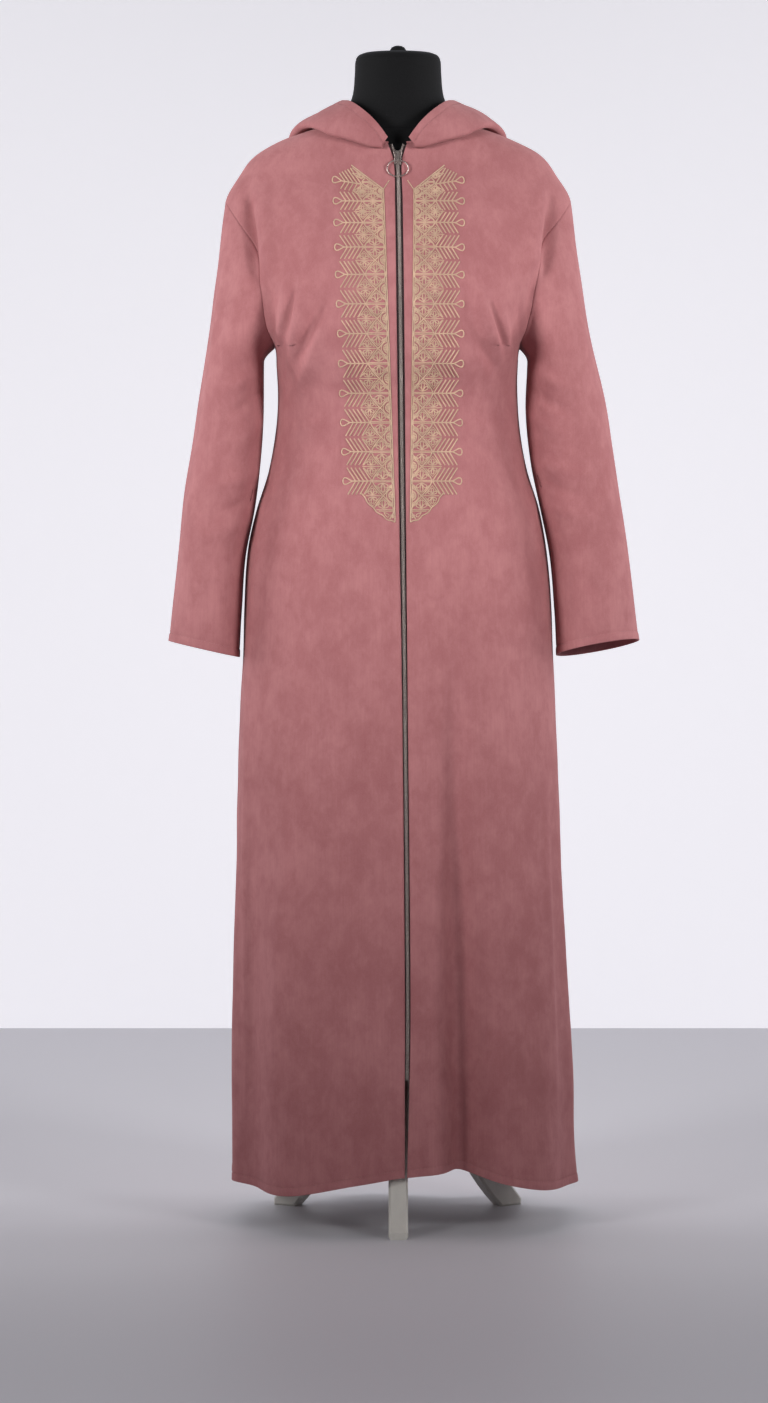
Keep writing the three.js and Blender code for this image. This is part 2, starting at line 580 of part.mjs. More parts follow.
// The part of a wall over a panel that lies within an outline of [x, height] points.
function cutWall(made, thick, outline) {
  const shape = new THREE.Shape(outline.map(([x, z]) => new THREE.Vector2(x, z)));
  const prism = new THREE.ExtrudeGeometry(shape, { depth: 400, bevelEnabled: false }).rotateX(Math.PI / 2);
  return geometryOf(solidOf(wall(made, thick)).intersect(solidOf(prism)).simplify(0.03));
}

// A front panel's first columns, lifted off it, between two rows.
function lifted(made, from, to, columns, lift) {
  const cut = (grid) => grid.slice(from, to + 1).map((row) => row.slice(0, columns + 1));
  const normals = cut(made.normals);
  const points = cut(made.points).map((row, j) =>
    row.map((p, i) => p.clone().addScaledVector(normals[j][i], lift)),
  );
  return { points, normals, sense: made.sense, closed: false };
}

// One tape of the zip, behind the panel's edge and out to the zip's middle.
function zipTape(made, side) {
  const lift = TAPE_FACE - ZIP.tape / 2;
  const from = Math.floor(rowAt(made, ZIP.foot));
  const strip = lifted(made, from, TOP_ROW, 1, lift);
  strip.points.forEach((row, k) => {
    const z = made.points[from + k][0].z;
    const past = besideZip(made, from + k, zipX(z) - side * 2, lift);
    row.unshift(past.point);
    strip.normals[k].unshift(past.normal.normalize());
  });
  const heights = [ZIP.foot, 312, 711, 981, 1240, 1380, 1434, NECK_FRONT - 1.5];
  const inner = (z) => zipX(z) + side * (SEAM / 2 + Math.max(0, zipGap(z) - 5.6));
  const up = heights.map((z) => [inner(z), z]);
  const down = heights.map((z) => [inner(z) + side * ZIP.tapeWidth, z]).reverse();
  return cutWall(strip, ZIP.tape, [...up, ...down]);
}

// The coil's row at j: a point on the right panel's slope, one on the middle and one on the left's.
function coilRow(left, right, j, lift) {
  const z = spot(left, j, 0, 0).point.z;
  const ends = [
    besideZip(right, j, zipX(z) - ZIP.coilWidth / 2, lift),
    besideZip(left, j, zipX(z) + ZIP.coilWidth / 2, lift),
  ];
  const middle = {
    point: besideZip(left, j, zipX(z), lift).point.lerp(besideZip(right, j, zipX(z), lift).point, 0.5),
    normal: ends[0].normal.clone().add(ends[1].normal).normalize(),
  };
  return [ends[0], middle, ends[1]];
}

function zipCoil(left, right) {
  const lift = COIL_FACE - ZIP.coil / 2;
  const grid = stripRows(left, ZIP.foot, ZIP.head).map((j) => coilRow(left, right, j, lift));
  const strip = panel(grid.map((row) => row.map((p) => p.point)));
  strip.normals = grid.map((row) => row.map((p) => p.normal.normalize()));
  return strip;
}

// ---------------------------------------------------------------- embroidery
// Height of the n-th leaf's middle: evenly pitched on the cloth, so closer together over the bust.
const leafHeight = (n) => LEAF.foot + LEAF.pitch * n - 1.8 * Math.max(0, n - 7.4) ** 2;

// The outline of one side's embroidery as [distance from the zip, height], from its inner foot up.
function embroideryOutline() {
  const { foot, head, width } = EMBROIDERY;
  const { loop, count } = LEAF;
  const inset = (z) => mix(10.2, 20.4, (z - foot) / (head - foot));
  const outline = Array.from({ length: 7 }, (_, k) => {
    const z = mix(foot, head, k / 6);
    return [inset(z), z];
  });
  outline.push([inset(head) + 40, head + 33], [inset(head) + width - 2, head + 26]);
  for (let n = count - 0.5; n > 0; n -= 1) {
    const z = leafHeight(n);
    const half = (leafHeight(n + 0.5) - leafHeight(n - 0.5)) / 2;
    const edge = inset(z) + width;
    outline.push([edge - 1, z + half * 0.55], [edge + 1, z + 4], [edge + loop - 1, z + 3]);
    outline.push([edge + loop - 1, z - 3], [edge + 1, z - 4], [edge - 1, z - half * 0.55]);
    outline.push([edge - 6, z - half]);
  }
  outline.push([51, leafHeight(0) - 1], [36, foot + 22], [22, foot + 8]);
  return outline;
}

function embroideryBand(made, side) {
  const from = Math.floor(rowAt(made, EMBROIDERY.foot)) - 1;
  const sheet = lifted(made, from, TOP_ROW - 1, 7, CLOTH / 2 + SEAM + EMBROIDERY.thick / 2);
  const outline = embroideryOutline().map(([away, z]) => [zipX(z) + side * away, z]);
  return cutWall(sheet, EMBROIDERY.thick, outline);
}

// ---------------------------------------------------------------- zip slider and its ring
// The slider lies in its own frame: x across, y up the zip, z out of the cloth, z 0 on the tapes.
function sliderGeometry() {
  const { width, length, thick, bail, bailWidth, wire } = SLIDER;
  const outline = new THREE.Shape();
  outline.moveTo(-width * 0.36, -length / 2);
  outline.lineTo(width * 0.36, -length / 2);
  outline.lineTo(width * 0.4, length * 0.1);
  outline.quadraticCurveTo(width / 2, length * 0.3, width / 2, length / 2 - 2);
  outline.lineTo(width * 0.3, length / 2);
  outline.lineTo(0, length / 2 - 3);
  outline.lineTo(-width * 0.3, length / 2);
  outline.lineTo(-width / 2, length / 2 - 2);
  outline.quadraticCurveTo(-width / 2, length * 0.3, -width * 0.4, length * 0.1);
  const plate = new THREE.ExtrudeGeometry(outline, {
    depth: thick - 1, bevelThickness: 0.5, bevelSize: 0.4, bevelSegments: 1, curveSegments: 3,
  }).translate(0, 0, 0.5 + SEAM);
  const half = length / 2 - 1.5;
  const arch = new THREE.Shape();
  arch.moveTo(-half, 0);
  arch.quadraticCurveTo(-half, bail, -half + 3.4, bail);
  arch.lineTo(half - 4, bail);
  arch.quadraticCurveTo(half, bail, half, 0);
  const gap = new THREE.Path();
  gap.moveTo(half - wire, 1);
  gap.quadraticCurveTo(half - wire, bail - wire, half - 4.4, bail - wire);
  gap.lineTo(-half + 3.6, bail - wire);
  gap.quadraticCurveTo(-half + wire, bail - wire, -half + wire, 1);
  arch.holes.push(gap);
  const bridge = new THREE.ExtrudeGeometry(arch, { depth: bailWidth, bevelEnabled: false, curveSegments: 4 });
  // The arch is drawn along the zip and out of the cloth, and extruded across.
  bridge.translate(0, 0, -bailWidth / 2).applyMatrix4(
    new THREE.Matrix4().makeBasis(V(0, 1, 0), V(0, 0, 1), V(1, 0, 0)),
  );
  return geometryOf(solidOf(plate).add(solidOf(bridge.translate(0, 0, SEAM + thick - 1))));
}

// The pull's ring: an oval through the slider's bail at hinge, hanging along the way given.
function ringGeometry(hinge, hang) {
  const path = Array.from({ length: 28 }, (_, k) => {
    const turn = (k / 28) * 2 * Math.PI;
    return hinge
      .clone()
      .addScaledVector(hang, RING.along * (1 - Math.cos(turn)))
      .add(V(RING.across * Math.sin(turn), 0, 0));
  });
  const curve = new THREE.CatmullRomCurve3(path, true, "centripetal");
  return new THREE.TubeGeometry(curve, 30, RING.wire / 2, 6, true);
}

// ---------------------------------------------------------------- dress form and stand
function formRings() {
  return FORM.map(({ height, halfWidth, front, back, middle, roundness }) =>
    Array.from({ length: FORM_SIDES }, (_, i) => {
      const turn = (i / FORM_SIDES) * 2 * Math.PI;
      const [s, c] = [Math.sin(turn), Math.cos(turn)];
      const p = 2 / roundness;
      return V(halfWidth * power(s, p), middle - (c > 0 ? front : back) * power(c, p), height);
    }),
  );
}

function legGeometry() {
  const inner = POLE.hubRadius + SEAM + LEG.bevel;
  const [heel, toe] = [LEG.reach - LEG.foot + LEG.bevel, LEG.reach - LEG.bevel];
  const shape = new THREE.Shape();
  shape.moveTo(inner, POLE.hubHead - 12);
  shape.bezierCurveTo(66, POLE.hubHead - 12, 104, 170, 126, 112);
  shape.bezierCurveTo(140, 76, 158, 44, toe, LEG.bevel + 5);
  shape.lineTo(toe, LEG.bevel);
  shape.lineTo(heel, LEG.bevel);
  shape.bezierCurveTo(138, 26, 120, 50, 104, 84);
  shape.bezierCurveTo(88, 112, 60, 126, inner, POLE.hubFoot + 12);
  const leg = new THREE.ExtrudeGeometry(shape, {
    depth: LEG.thick - 2 * LEG.bevel, bevelThickness: LEG.bevel, bevelSize: LEG.bevel,
    bevelSegments: 1, curveSegments: 5,
  });
  return leg.translate(0, 0, LEG.bevel - LEG.thick / 2).rotateX(Math.PI / 2);
}

function knobGeometry(foot) {
  const profile = [[0, 0], [10, 0], [11, 1], [11, 4], [8.8, 7.6], [5, 9.6], [0, 10.4]];
  return new THREE.LatheGeometry(profile.map(([r, z]) => new THREE.Vector2(r, z)), 20)
    .rotateX(Math.PI / 2)
    .translate(0, 5, foot);
}

// ---------------------------------------------------------------- finishes
const finish = (color, roughness, metalness = 0) =>
  new THREE.MeshStandardMaterial({ color, roughness, metalness });
const suede = finish(0xb0777a, 0.95);
const thread = finish(0xcfa77f, 0.8);
const tapeCloth = finish(0x6d4f4c, 0.9);
const metal = finish(0xb9aa98, 0.35, 0.9);
const jersey = finish(0x1c1c1e, 0.85);
const paint = finish(0xe4e0d8, 0.45);

const part = new THREE.Group();
part.position.set(-BOX_CENTRE.x, -BOX_CENTRE.y, 0);

function add(name, geometry, material, parent = part) {
  const mesh = new THREE.Mesh(geometry, material);
  mesh.name = name;
  parent.add(mesh);
}

// ---------------------------------------------------------------- the robe's seams
const span = (from, to) => Array.from({ length: to - from + 1 }, (_, k) => from + k);
const fronts = { left: frontPanel(1), right: frontPanel(-1) };
const back = backPanel();
const sleeves = {};
const hoods = {};

for (const [name, side] of [["left", 1], ["right", -1]]) {
  const front = fronts[name];
  const sleeve = sleevePanel(name, side, front, back);
  sleeves[name] = sleeve;
  hoods[name] = hoodPanel(side);
  const edge = side > 0 ? 0 : BACK_COLUMNS; // the back's column at this side seam
  const next = side > 0 ? 1 : BACK_COLUMNS - 1;
  // Side seam and shoulder seam, front to back.
  for (const run of [span(0, UNDERARM_ROW), span(TIP_ROW, TOP_ROW)]) {
    const [one, two] = [FRONT_COLUMNS, edge].map((c) => run.map((j) => [j, c]));
    sew(front, one, back, two, (k) => [[run[k], FRONT_COLUMNS - 1], [run[k], next]]);
  }
  // Armhole: the front's edge, then the back's, to the sleeve's first ring.
  for (const [source, run, cut] of [
    [front, span(1, ROWS.armhole - 1), FRONT_COLUMNS - 1],
    [back, span(ROWS.armhole + 1, LOOP - 1), next],
  ]) {
    const hole = run.map((k) => armholePoint(front, back, side, k).place);
    sew(source, hole, sleeve, run.map((k) => [0, k]), (k) => [[hole[k][0], cut], [1, run[k]]]);
  }
  // The shoulder tip and the underarm point, where three pieces meet.
  for (const [k, j] of [[0, TIP_ROW], [ROWS.armhole, UNDERARM_ROW]]) {
    const normal = front.normals[j][FRONT_COLUMNS].clone().add(sleeve.normals[0][k]).normalize();
    const away = sleeve.points[1][k].clone().sub(front.points[j][FRONT_COLUMNS]);
    away.addScaledVector(normal, -away.dot(normal)).normalize();
    for (const [piece, row, at, sign] of [
      [front, j, FRONT_COLUMNS, -1], [back, j, edge, -1], [sleeve, 0, k, 1],
    ]) {
      piece.normals[row][at] = normal.clone();
      piece.points[row][at].addScaledVector(away, (sign * SEAM) / 2);
    }
  }
}

// The hood's centre back seam, then its seam round the neckline.
const crown = span(0, HOOD_STEPS);
const crownEdge = crown.map((n) => [n, HOOD_STATIONS]);
sew(hoods.left, crownEdge, hoods.right, crownEdge, (k) => [[k, HOOD_STATIONS - 1], [k, HOOD_STATIONS - 1]]);
for (const [name, side] of [["left", 1], ["right", -1]]) {
  const [front, piece] = [fronts[name], hoods[name]];
  const corner = front.points[TOP_ROW][FRONT_COLUMNS].clone();
  const neckOf = (run) => run.map((k) => [TOP_ROW, station(side, k).column]);
  const inward = (run) => (k) => [[TOP_ROW - 1, station(side, run[k]).column], [1, run[k]]];
  const [ahead, behind] = [span(0, FRONT_COLUMNS), span(FRONT_COLUMNS + 1, HOOD_STATIONS)];
  sew(front, neckOf(ahead), piece, ahead.map((k) => [0, k]), inward(ahead));
  sew(back, neckOf(behind), piece, behind.map((k) => [0, k]), inward(behind));
  // The back's corner beside the shoulder seam moves as the front's has.
  const edge = side > 0 ? 0 : BACK_COLUMNS;
  back.points[TOP_ROW][edge].add(front.points[TOP_ROW][FRONT_COLUMNS]).sub(corner);
  back.normals[TOP_ROW][edge] = front.normals[TOP_ROW][FRONT_COLUMNS].clone();
}

// ---------------------------------------------------------------- assembly
add("back", wall(back), suede);
for (const [name, side] of [["left", 1], ["right", -1]]) {
  const front = fronts[name];
  add(`front_${name}`, wall(front), suede);
  add(`sleeve_${name}`, wall(sleeves[name]), suede);
  add(`hood_${name}`, wall(hoods[name]), suede);
  add(`zip_tape_${name}`, zipTape(front, side), tapeCloth);
  add(`embroidery_${name}`, embroideryBand(front, side), thread);
}
add("zip_coil", wall(zipCoil(fronts.left, fronts.right), ZIP.coil), metal);

// The slider stands on the tapes just above the coil, and its ring hangs down over the coil.
const sliderHeight = ZIP.head + SLIDER.length / 2 + 1.6;
const onTapes = coilRow(fronts.left, fronts.right, rowAt(fronts.left, sliderHeight), TAPE_FACE)[1];
const outward = V(0, onTapes.normal.y, onTapes.normal.z).normalize();
const seat = new THREE.Group();
seat.position.copy(onTapes.point);
seat.quaternion.setFromRotationMatrix(
  new THREE.Matrix4().makeBasis(V(1, 0, 0), outward.clone().cross(V(1, 0, 0)), outward),
);
seat.updateMatrix();
add("zip_slider", sliderGeometry(), metal, seat);
part.add(seat);
const bailFoot = -SLIDER.length / 2 + 1.5 + SLIDER.wire + RING.wire / 2 + 0.5;
const bailMiddle = SEAM + SLIDER.thick + (SLIDER.bail - SLIDER.wire - 1) / 2;
const hinge = V(0, bailFoot, bailMiddle).applyMatrix4(seat.matrix);
const rest = COIL_FACE + 2 * SEAM + RING.wire / 2;
const low = coilRow(fronts.left, fronts.right, rowAt(fronts.left, hinge.z - 1.86 * RING.along), rest)[1].point;
const hang = V(0, low.y - hinge.y, low.z - hinge.z).normalize();
add("zip_pull_ring", ringGeometry(hinge, hang), metal);

add("form_torso", loft(formRings()), jersey);
add("form_knob", knobGeometry(FORM[FORM.length - 1].height + SEAM), jersey);
const poleLength = FORM[0].height - POLE.hubHead - 2 * SEAM;
const pole = new THREE.CylinderGeometry(POLE.radius, POLE.radius, poleLength, 20).rotateX(Math.PI / 2);
add("pole", pole.translate(0, 0, POLE.hubHead + SEAM + poleLength / 2), paint);
const hubLength = POLE.hubHead - POLE.hubFoot;
const hub = new THREE.CylinderGeometry(POLE.hubRadius, POLE.hubRadius, hubLength, 24).rotateX(Math.PI / 2);
add("hub", hub.translate(0, 0, POLE.hubFoot + hubLength / 2), paint);
for (const [name, turn] of [["front", -90], ["left", 30], ["right", 150]]) {
  add(`leg_${name}`, legGeometry().rotateZ(turn * DEG), paint);
}
export default part;
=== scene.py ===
"""A jebba, a long hooded robe of suede cloth, on a limbless dress form with its three-legged stand."""

import json
import math

import bpy
import numpy as np
from bpy.props import FloatProperty, FloatVectorProperty, IntProperty, PointerProperty
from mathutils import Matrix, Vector


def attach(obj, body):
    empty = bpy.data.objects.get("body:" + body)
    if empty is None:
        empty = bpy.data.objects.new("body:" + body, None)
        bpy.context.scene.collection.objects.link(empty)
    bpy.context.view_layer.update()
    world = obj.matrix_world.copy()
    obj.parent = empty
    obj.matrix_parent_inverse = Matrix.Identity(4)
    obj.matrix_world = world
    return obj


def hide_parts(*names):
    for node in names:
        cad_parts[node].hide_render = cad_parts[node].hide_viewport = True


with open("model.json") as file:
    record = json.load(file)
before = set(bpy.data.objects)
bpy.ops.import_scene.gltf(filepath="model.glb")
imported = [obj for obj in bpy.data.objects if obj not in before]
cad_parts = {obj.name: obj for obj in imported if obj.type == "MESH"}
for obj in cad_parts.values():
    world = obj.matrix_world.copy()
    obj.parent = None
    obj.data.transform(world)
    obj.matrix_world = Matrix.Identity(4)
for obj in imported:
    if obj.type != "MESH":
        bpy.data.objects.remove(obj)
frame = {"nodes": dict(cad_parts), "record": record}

bl_info = {
    "name": "Jebba on a dress form",
    "version": (1, 0, 0),
    "blender": (4, 5, 0),
    "location": "3D Viewport > Sidebar > Jebba",
    "description": "Builds the cloth, embroidery, zip and stand of a hooded robe on a dress form",
    "category": "Object",
}

ROBE = "robe_on_form"
POLE_AT = np.array([8.0, -2.0, 0.0])  # where the box's middle is from the pole, mm
DEG = math.pi / 180

# Heights round the robe, in millimetres above the floor.
UNDERARM, SHOULDER_TIP = 1188, 1383
NECK_SIDE, NECK_FRONT, NECK_BACK = 1489, 1458, 1476
ARMHOLE_DIP = {"front": 33, "back": 30}  # degrees that the armhole cuts into each panel
ZIP_FOOT, ZIP_HEAD = 208, 1427
WALL_AT = 2.01  # metres from the pole back to the studio's wall
ROOM = 20  # half the width of the floor and the wall, m
AIR_SEEN = 0.88  # how bright the surround looks where nothing stands before it

# The robe's body: height, half width, sideways drift, depth in front and behind, roundness.
BODY = {
    "height": (20, 95, 231, 367, 503, 640, 748, 833, 912, 966, 1020, 1075, 1123, 1160, 1188, 1212, 1245,
               1285, 1335, 1383, 1417, 1445, 1466, 1477, 1485, 1490),
    "half": (238, 233.5, 232, 227, 221.5, 217.5, 211.5, 208, 202, 191.5, 175, 165, 161.5, 162.5, 166, 185,
             206, 221, 230, 233, 214.5, 193, 154.5, 124.5, 98, 84),
    "drift": (10, 7, 5, 2, 1, 0, 0, 0, -1, 0, 0, 0, -0.5, -1, -1, -1, 0, 0, 0, 0, 0, 0, 0, 0, 0, 0),
    "front": (170, 166, 162, 158, 155, 151, 147, 142, 136, 131, 127, 126, 132, 146, 150, 152, 151, 141,
              118, 93, 76.5, 67, 61, 56, 54, 53),
    "back": (178, 173, 167, 161, 155, 149, 143, 137, 131, 123, 108, 96, 91, 94, 97, 101, 105, 108, 109,
             104, 98, 90, 80, 74, 70, 67),
    "round": (2.3, 2.3, 2.3, 2.3, 2.3, 2.3, 2.28, 2.25, 2.22, 2.2, 2.2, 2.2, 2.3, 2.55, 2.75, 2.5, 2.25,
              2.15, 2.1, 2.1, 2.1, 2.1, 2.1, 2.1, 2.1, 2.1),
}
# Folds of the skirt: angle round the body, spread, depth at the hem, and where they fade out.
FOLDS = (
    (-74, 6, 6, 900), (-84, 5, -9, 900), (-58, 9, -7, 700), (-36, 13, 17, 820), (2, 9, -11, 560),
    (11, 5, 8, 860), (19, 8, -50, 900), (47, 13, 14, 760), (76, 6, 6, 900), (85, 5, -9, 900),
    (108, 10, 10, 800), (128, 9, -22, 980), (149, 10, 15, 860), (168, 8, -20, 1000), (188, 10, 14, 900),
    (209, 8, -26, 1010), (231, 11, 13, 840), (250, 7, -12, 780),
)
HEM = {
    "angle": (-90, -62, -36, -12, 4, 18, 32, 48, 72, 90, 130, 180, 230, 270),
    "height": (60, 56, 52, 68, 79, 82, 66, 56, 55, 60, 64, 58, 64, 60),
}
ZIP_LINE = {
    "height": (40, 120, 200, 312, 711, 981, 1240, 1380, 1434, 1456),
    "x": (10, 11, 12, 12.8, 8.8, 5.5, 2.5, 0.8, -0.6, -1),
    "gap": (1.2, 2.2, 3.3, 3.8, 3.8, 4.6, 5.2, 5.2, 5.6, 12.5),
}
SLEEVE = {
    "left": {
        "height": (780, 846, 912, 980, 1040, 1102, 1166),
        "outer": (327, 318, 308.5, 298, 289, 280, 266), "inner": (216, 213, 207, 193, 180, 174, 176),
        "middle": (-16, -16, -15, -14, -12, -10, -8), "deep": (54, 54, 55, 57, 60, 66, 76),
        "lift": (10, 10, 10, 9, 7, 4, 0), "pitch": (8, 8, 7, 6, 4, 2, 0),
    },
    "right": {
        "height": (778, 846, 912, 980, 1040, 1102, 1166),
        "outer": (311, 302, 295, 287, 278, 269, 260), "inner": (216, 213, 208, 194.5, 187, 183, 183),
        "middle": (-16, -16, -15, -14, -12, -10, -8), "deep": (61, 61, 62, 64, 67, 72, 78),
        "lift": (11, 11, 10, 9, 7, 4, 0), "pitch": (2, 2, 2, 2, 2, 1, 0),
    },
}
# The hood thrown back, from the zip (0) over the shoulder (90) to the centre back (180).
HOOD = {
    "at": (0, 11, 22.5, 45, 67.5, 90, 100, 110, 120, 130, 140, 150, 160, 170, 180),
    "turn": (5.6, 10, 18, 33, 50, 78, 103, 120, 133, 143, 151, 158, 165, 172.6, 180),
    "height": (1452, 1453, 1459, 1467, 1474, 1478, 1473, 1463, 1445, 1419, 1383, 1338, 1293, 1257, 1240),
    "rim_x": (14, 29, 44, 62, 72, 78, 83, 85, 84, 79, 69, 54, 37, 19, 0),
    "rim_y": (-77, -75, -66, -44, -20, 4, 22, 42, 62, 80, 95, 107, 116, 121, 123),
    "rim_z": (1465, 1485, 1500, 1514, 1518, 1519, 1518, 1515, 1510, 1505, 1499, 1493, 1489, 1486, 1485),
    "belly": (1.5, 3, 5, 7, 7, 6, 6, 8, 11, 15, 19, 23, 27, 29, 30),
    "puff": (0.75, 0.8, 0.9, 1, 1, 1, 1.1, 1.2, 1.3, 1.4, 1.5, 1.5, 1.5, 1.5, 1.5),
}
FORM = {
    "height": (792, 880, 960, 1040, 1095, 1150, 1215, 1260, 1320, 1375, 1410, 1434, 1450, 1466, 1477, 1486,
               1497, 1512, 1530, 1558, 1574, 1581, 1584),
    "half": (168, 178, 172, 146, 134, 142, 156, 166, 178, 186, 189, 182, 176.5, 149, 118, 83, 73.5, 67, 61,
             58.5, 57.5, 53.5, 46),
    "front": (112, 118, 114, 104, 100, 118, 138, 134, 116, 89, 74, 64, 57.5, 53.5, 49.5, 46.5, 48, 52, 52,
              53, 53, 49, 42),
    "back": (108, 116, 112, 92, 82, 84, 92, 99, 102, 98, 93, 87.5, 82.5, 75, 70, 62, 60, 60, 58, 55, 54,
             50, 43),
    "middle": (0, 0, 0, 0, 0, 0, 0, 0, 0, 0, 0, 0, 0, 0, 0, 0, 1, 3, 4, 5, 5, 5, 5),
    "round": (2.15, 2.15, 2.15, 2.1, 2.1, 2.2, 2.3, 2.25, 2.15, 2.1, 2.1, 2.1, 2.1, 2.1, 2.1, 2.05, 2, 2,
              2, 2, 2, 2, 2),
}
# Creases of the cloth: where each runs, how wide and how far out (+) or in (-) it stands, mm.
# On the front and back as (x, height) pairs; on a sleeve as (degrees from its outer side, height).
FRONT_CREASES = (
    ((-204, 1408), (-189, 1270), 9, -12), ((-186, 1402), (-166, 1256), 13, 7),
    ((-176, 1292), (-164, 1190), 8, -4), ((-161, 1176), (-149, 1276), 8, 5),
    ((-150, 1196), (-138, 1264), 6, -5),
    ((-146, 1156), (-124, 1272), 9, 7.5), ((-137, 1156), (-96, 1264), 11, -8),
    ((-140, 1112), (-92, 1238), 9, 5),
    ((-124, 1104), (-74, 1200), 12, -3), ((-150, 1110), (-142, 1164), 8, -3),
    ((100, 1268), (142, 1162), 9, 7), ((88, 1240), (130, 1150), 9, -4.5), ((132, 1250), (152, 1156), 8, 5),
    ((119, 1256), (146, 1160), 6, -5), ((146, 1130), (110, 1196), 10, -3), ((166, 1190), (160, 1262), 8, -3),
    ((192, 1404), (174, 1256), 13, 7), ((208, 1400), (192, 1268), 9, -11),
    ((184, 1300), (172, 1206), 8, -3.4),
    ((-150, 1066), (-96, 1090), 9, 2.2), ((-140, 1040), (-60, 1066), 10, -2),
    ((150, 1060), (92, 1088), 9, 2.2), ((142, 1034), (74, 1062), 10, -2),
    ((-178, 1000), (-204, 760), 12, 3.4), ((-168, 980), (-190, 800), 12, -2.6),
    ((180, 1000), (200, 790), 12, 3), ((170, 985), (188, 820), 12, -2.4),
    ((-86, 900), (-92, 420), 20, 1.8), ((58, 790), (56, 330), 11, 2.6), ((74, 800), (76, 240), 18, -3.2),
    ((110, 900), (120, 500), 20, 2), ((-146, 560), (-164, 120), 12, 3), ((-204, 700), (-208, 130), 7, 3.5),
    ((196, 620), (208, 120), 8, 3.2), ((168, 420), (182, 110), 10, -2.6),
)
BACK_CREASES = (
    ((-150, 1090), (-70, 1112), 9, -2.4), ((-140, 1064), (-40, 1078), 10, 2.6),
    ((-120, 1040), (-20, 1050), 9, -2.4),
    ((150, 1094), (66, 1110), 9, -2.4), ((146, 1060), (44, 1080), 10, 2.6),
    ((128, 1034), (28, 1046), 9, -2.2),
    ((-170, 1180), (-120, 1290), 10, 3), ((-158, 1172), (-108, 1270), 8, -2.6),
    ((170, 1180), (122, 1290), 10, 3), ((158, 1172), (110, 1270), 8, -2.6),
    ((-60, 1010), (-80, 700), 16, 2.2), ((70, 1010), (92, 690), 16, 2.2), ((4, 1020), (0, 720), 16, -2),
)
SLEEVE_CREASES = {
    "left": (
        ((150, 1160), (70, 1120), 9, 3), ((165, 1140), (80, 1090), 8, -3), ((175, 1110), (95, 1062), 8, 2.4),
        ((170, 1040), (60, 1000), 9, 2.6), ((178, 1022), (80, 975), 8, -2.6),
        ((165, 985), (70, 940), 9, 2.2),
        ((210, 1040), (300, 1000), 9, 2.6), ((200, 1010), (290, 960), 8, -2.6),
        ((210, 975), (300, 930), 9, 2),
        ((20, 1000), (100, 925), 12, 1.8), ((0, 1330), (6, 800), 7, 1.8), ((-60, 1250), (-40, 1060), 12, 2),
        ((50, 1280), (60, 1130), 12, -2.2), ((35, 1290), (44, 1160), 11, 2),
        ((120, 880), (60, 830), 12, -1.6),
        ((250, 880), (310, 830), 12, -1.6),
    ),
    "right": (
        ((150, 1160), (70, 1120), 9, 3), ((165, 1136), (80, 1086), 8, -3), ((176, 1100), (95, 1050), 8, 2.4),
        ((172, 1030), (60, 985), 9, 2.8), ((178, 1008), (80, 955), 8, -2.8), ((168, 968), (66, 920), 9, 2.4),
        ((208, 1030), (300, 990), 9, 2.6), ((200, 1002), (290, 950), 8, -2.6),
        ((210, 965), (300, 920), 9, 2),
        ((16, 985), (92, 905), 12, 2), ((0, 1330), (6, 800), 7, 1.8), ((-60, 1250), (-40, 1060), 12, 2),
        ((46, 1290), (56, 1120), 12, -2.4), ((30, 1300), (40, 1150), 11, 2.2),
        ((110, 870), (50, 812), 12, -1.6),
        ((250, 880), (310, 830), 12, -1.6),
    ),
}


# ---------------------------------------------------------------- settings
class RobeSettings(bpy.types.PropertyGroup):
    """Sizes and colours of the robe's cloth."""

    cloth: FloatProperty(name="Cloth", description="Thickness of the suede cloth",
                         default=0.0017, min=0.0008, max=0.003, subtype="DISTANCE", unit="LENGTH")
    seam: FloatProperty(name="Seam", description="Gap that parts two pieces along a seam",
                        default=0.0003, min=0.0001, max=0.001, subtype="DISTANCE", unit="LENGTH")
    hem: FloatProperty(name="Hem", description="How far above an edge its hem is stitched",
                       default=0.011, min=0.004, max=0.03, subtype="DISTANCE", unit="LENGTH")
    stitch: FloatProperty(name="Stitch", description="From one hem stitch to the next",
                          default=0.0034, min=0.002, max=0.01, subtype="DISTANCE", unit="LENGTH")
    color: FloatVectorProperty(name="Suede", description="Colour of the suede", subtype="COLOR", size=3,
                               default=(0.385, 0.154, 0.16), min=0, max=1)
    nap: FloatVectorProperty(name="Brushed nap", description="Colour where the nap is brushed up",
                             subtype="COLOR", size=3, default=(0.47, 0.202, 0.205), min=0, max=1)
    shade: FloatVectorProperty(name="Pressed nap", description="Colour where the nap is pressed flat",
                               subtype="COLOR", size=3, default=(0.285, 0.098, 0.104), min=0, max=1)


class EmbroiderySettings(bpy.types.PropertyGroup):
    """Sizes and colours of the corded embroidery beside the zip."""

    cord: FloatProperty(name="Cord", description="Radius of the cord of the leaves and the trellis",
                        default=0.00092, min=0.0003, max=0.0015, subtype="DISTANCE", unit="LENGTH")
    fine: FloatProperty(name="Fine cord", description="Radius of the cord that fills the eyes",
                        default=0.00068, min=0.0002, max=0.001, subtype="DISTANCE", unit="LENGTH")
    color: FloatVectorProperty(name="Cord colour", description="Colour of the silk cord", subtype="COLOR",
                               size=3, default=(0.565, 0.38, 0.262), min=0, max=1)
    leaves: IntProperty(name="Leaves", description="Leaves up each side", default=12, min=4, max=14)


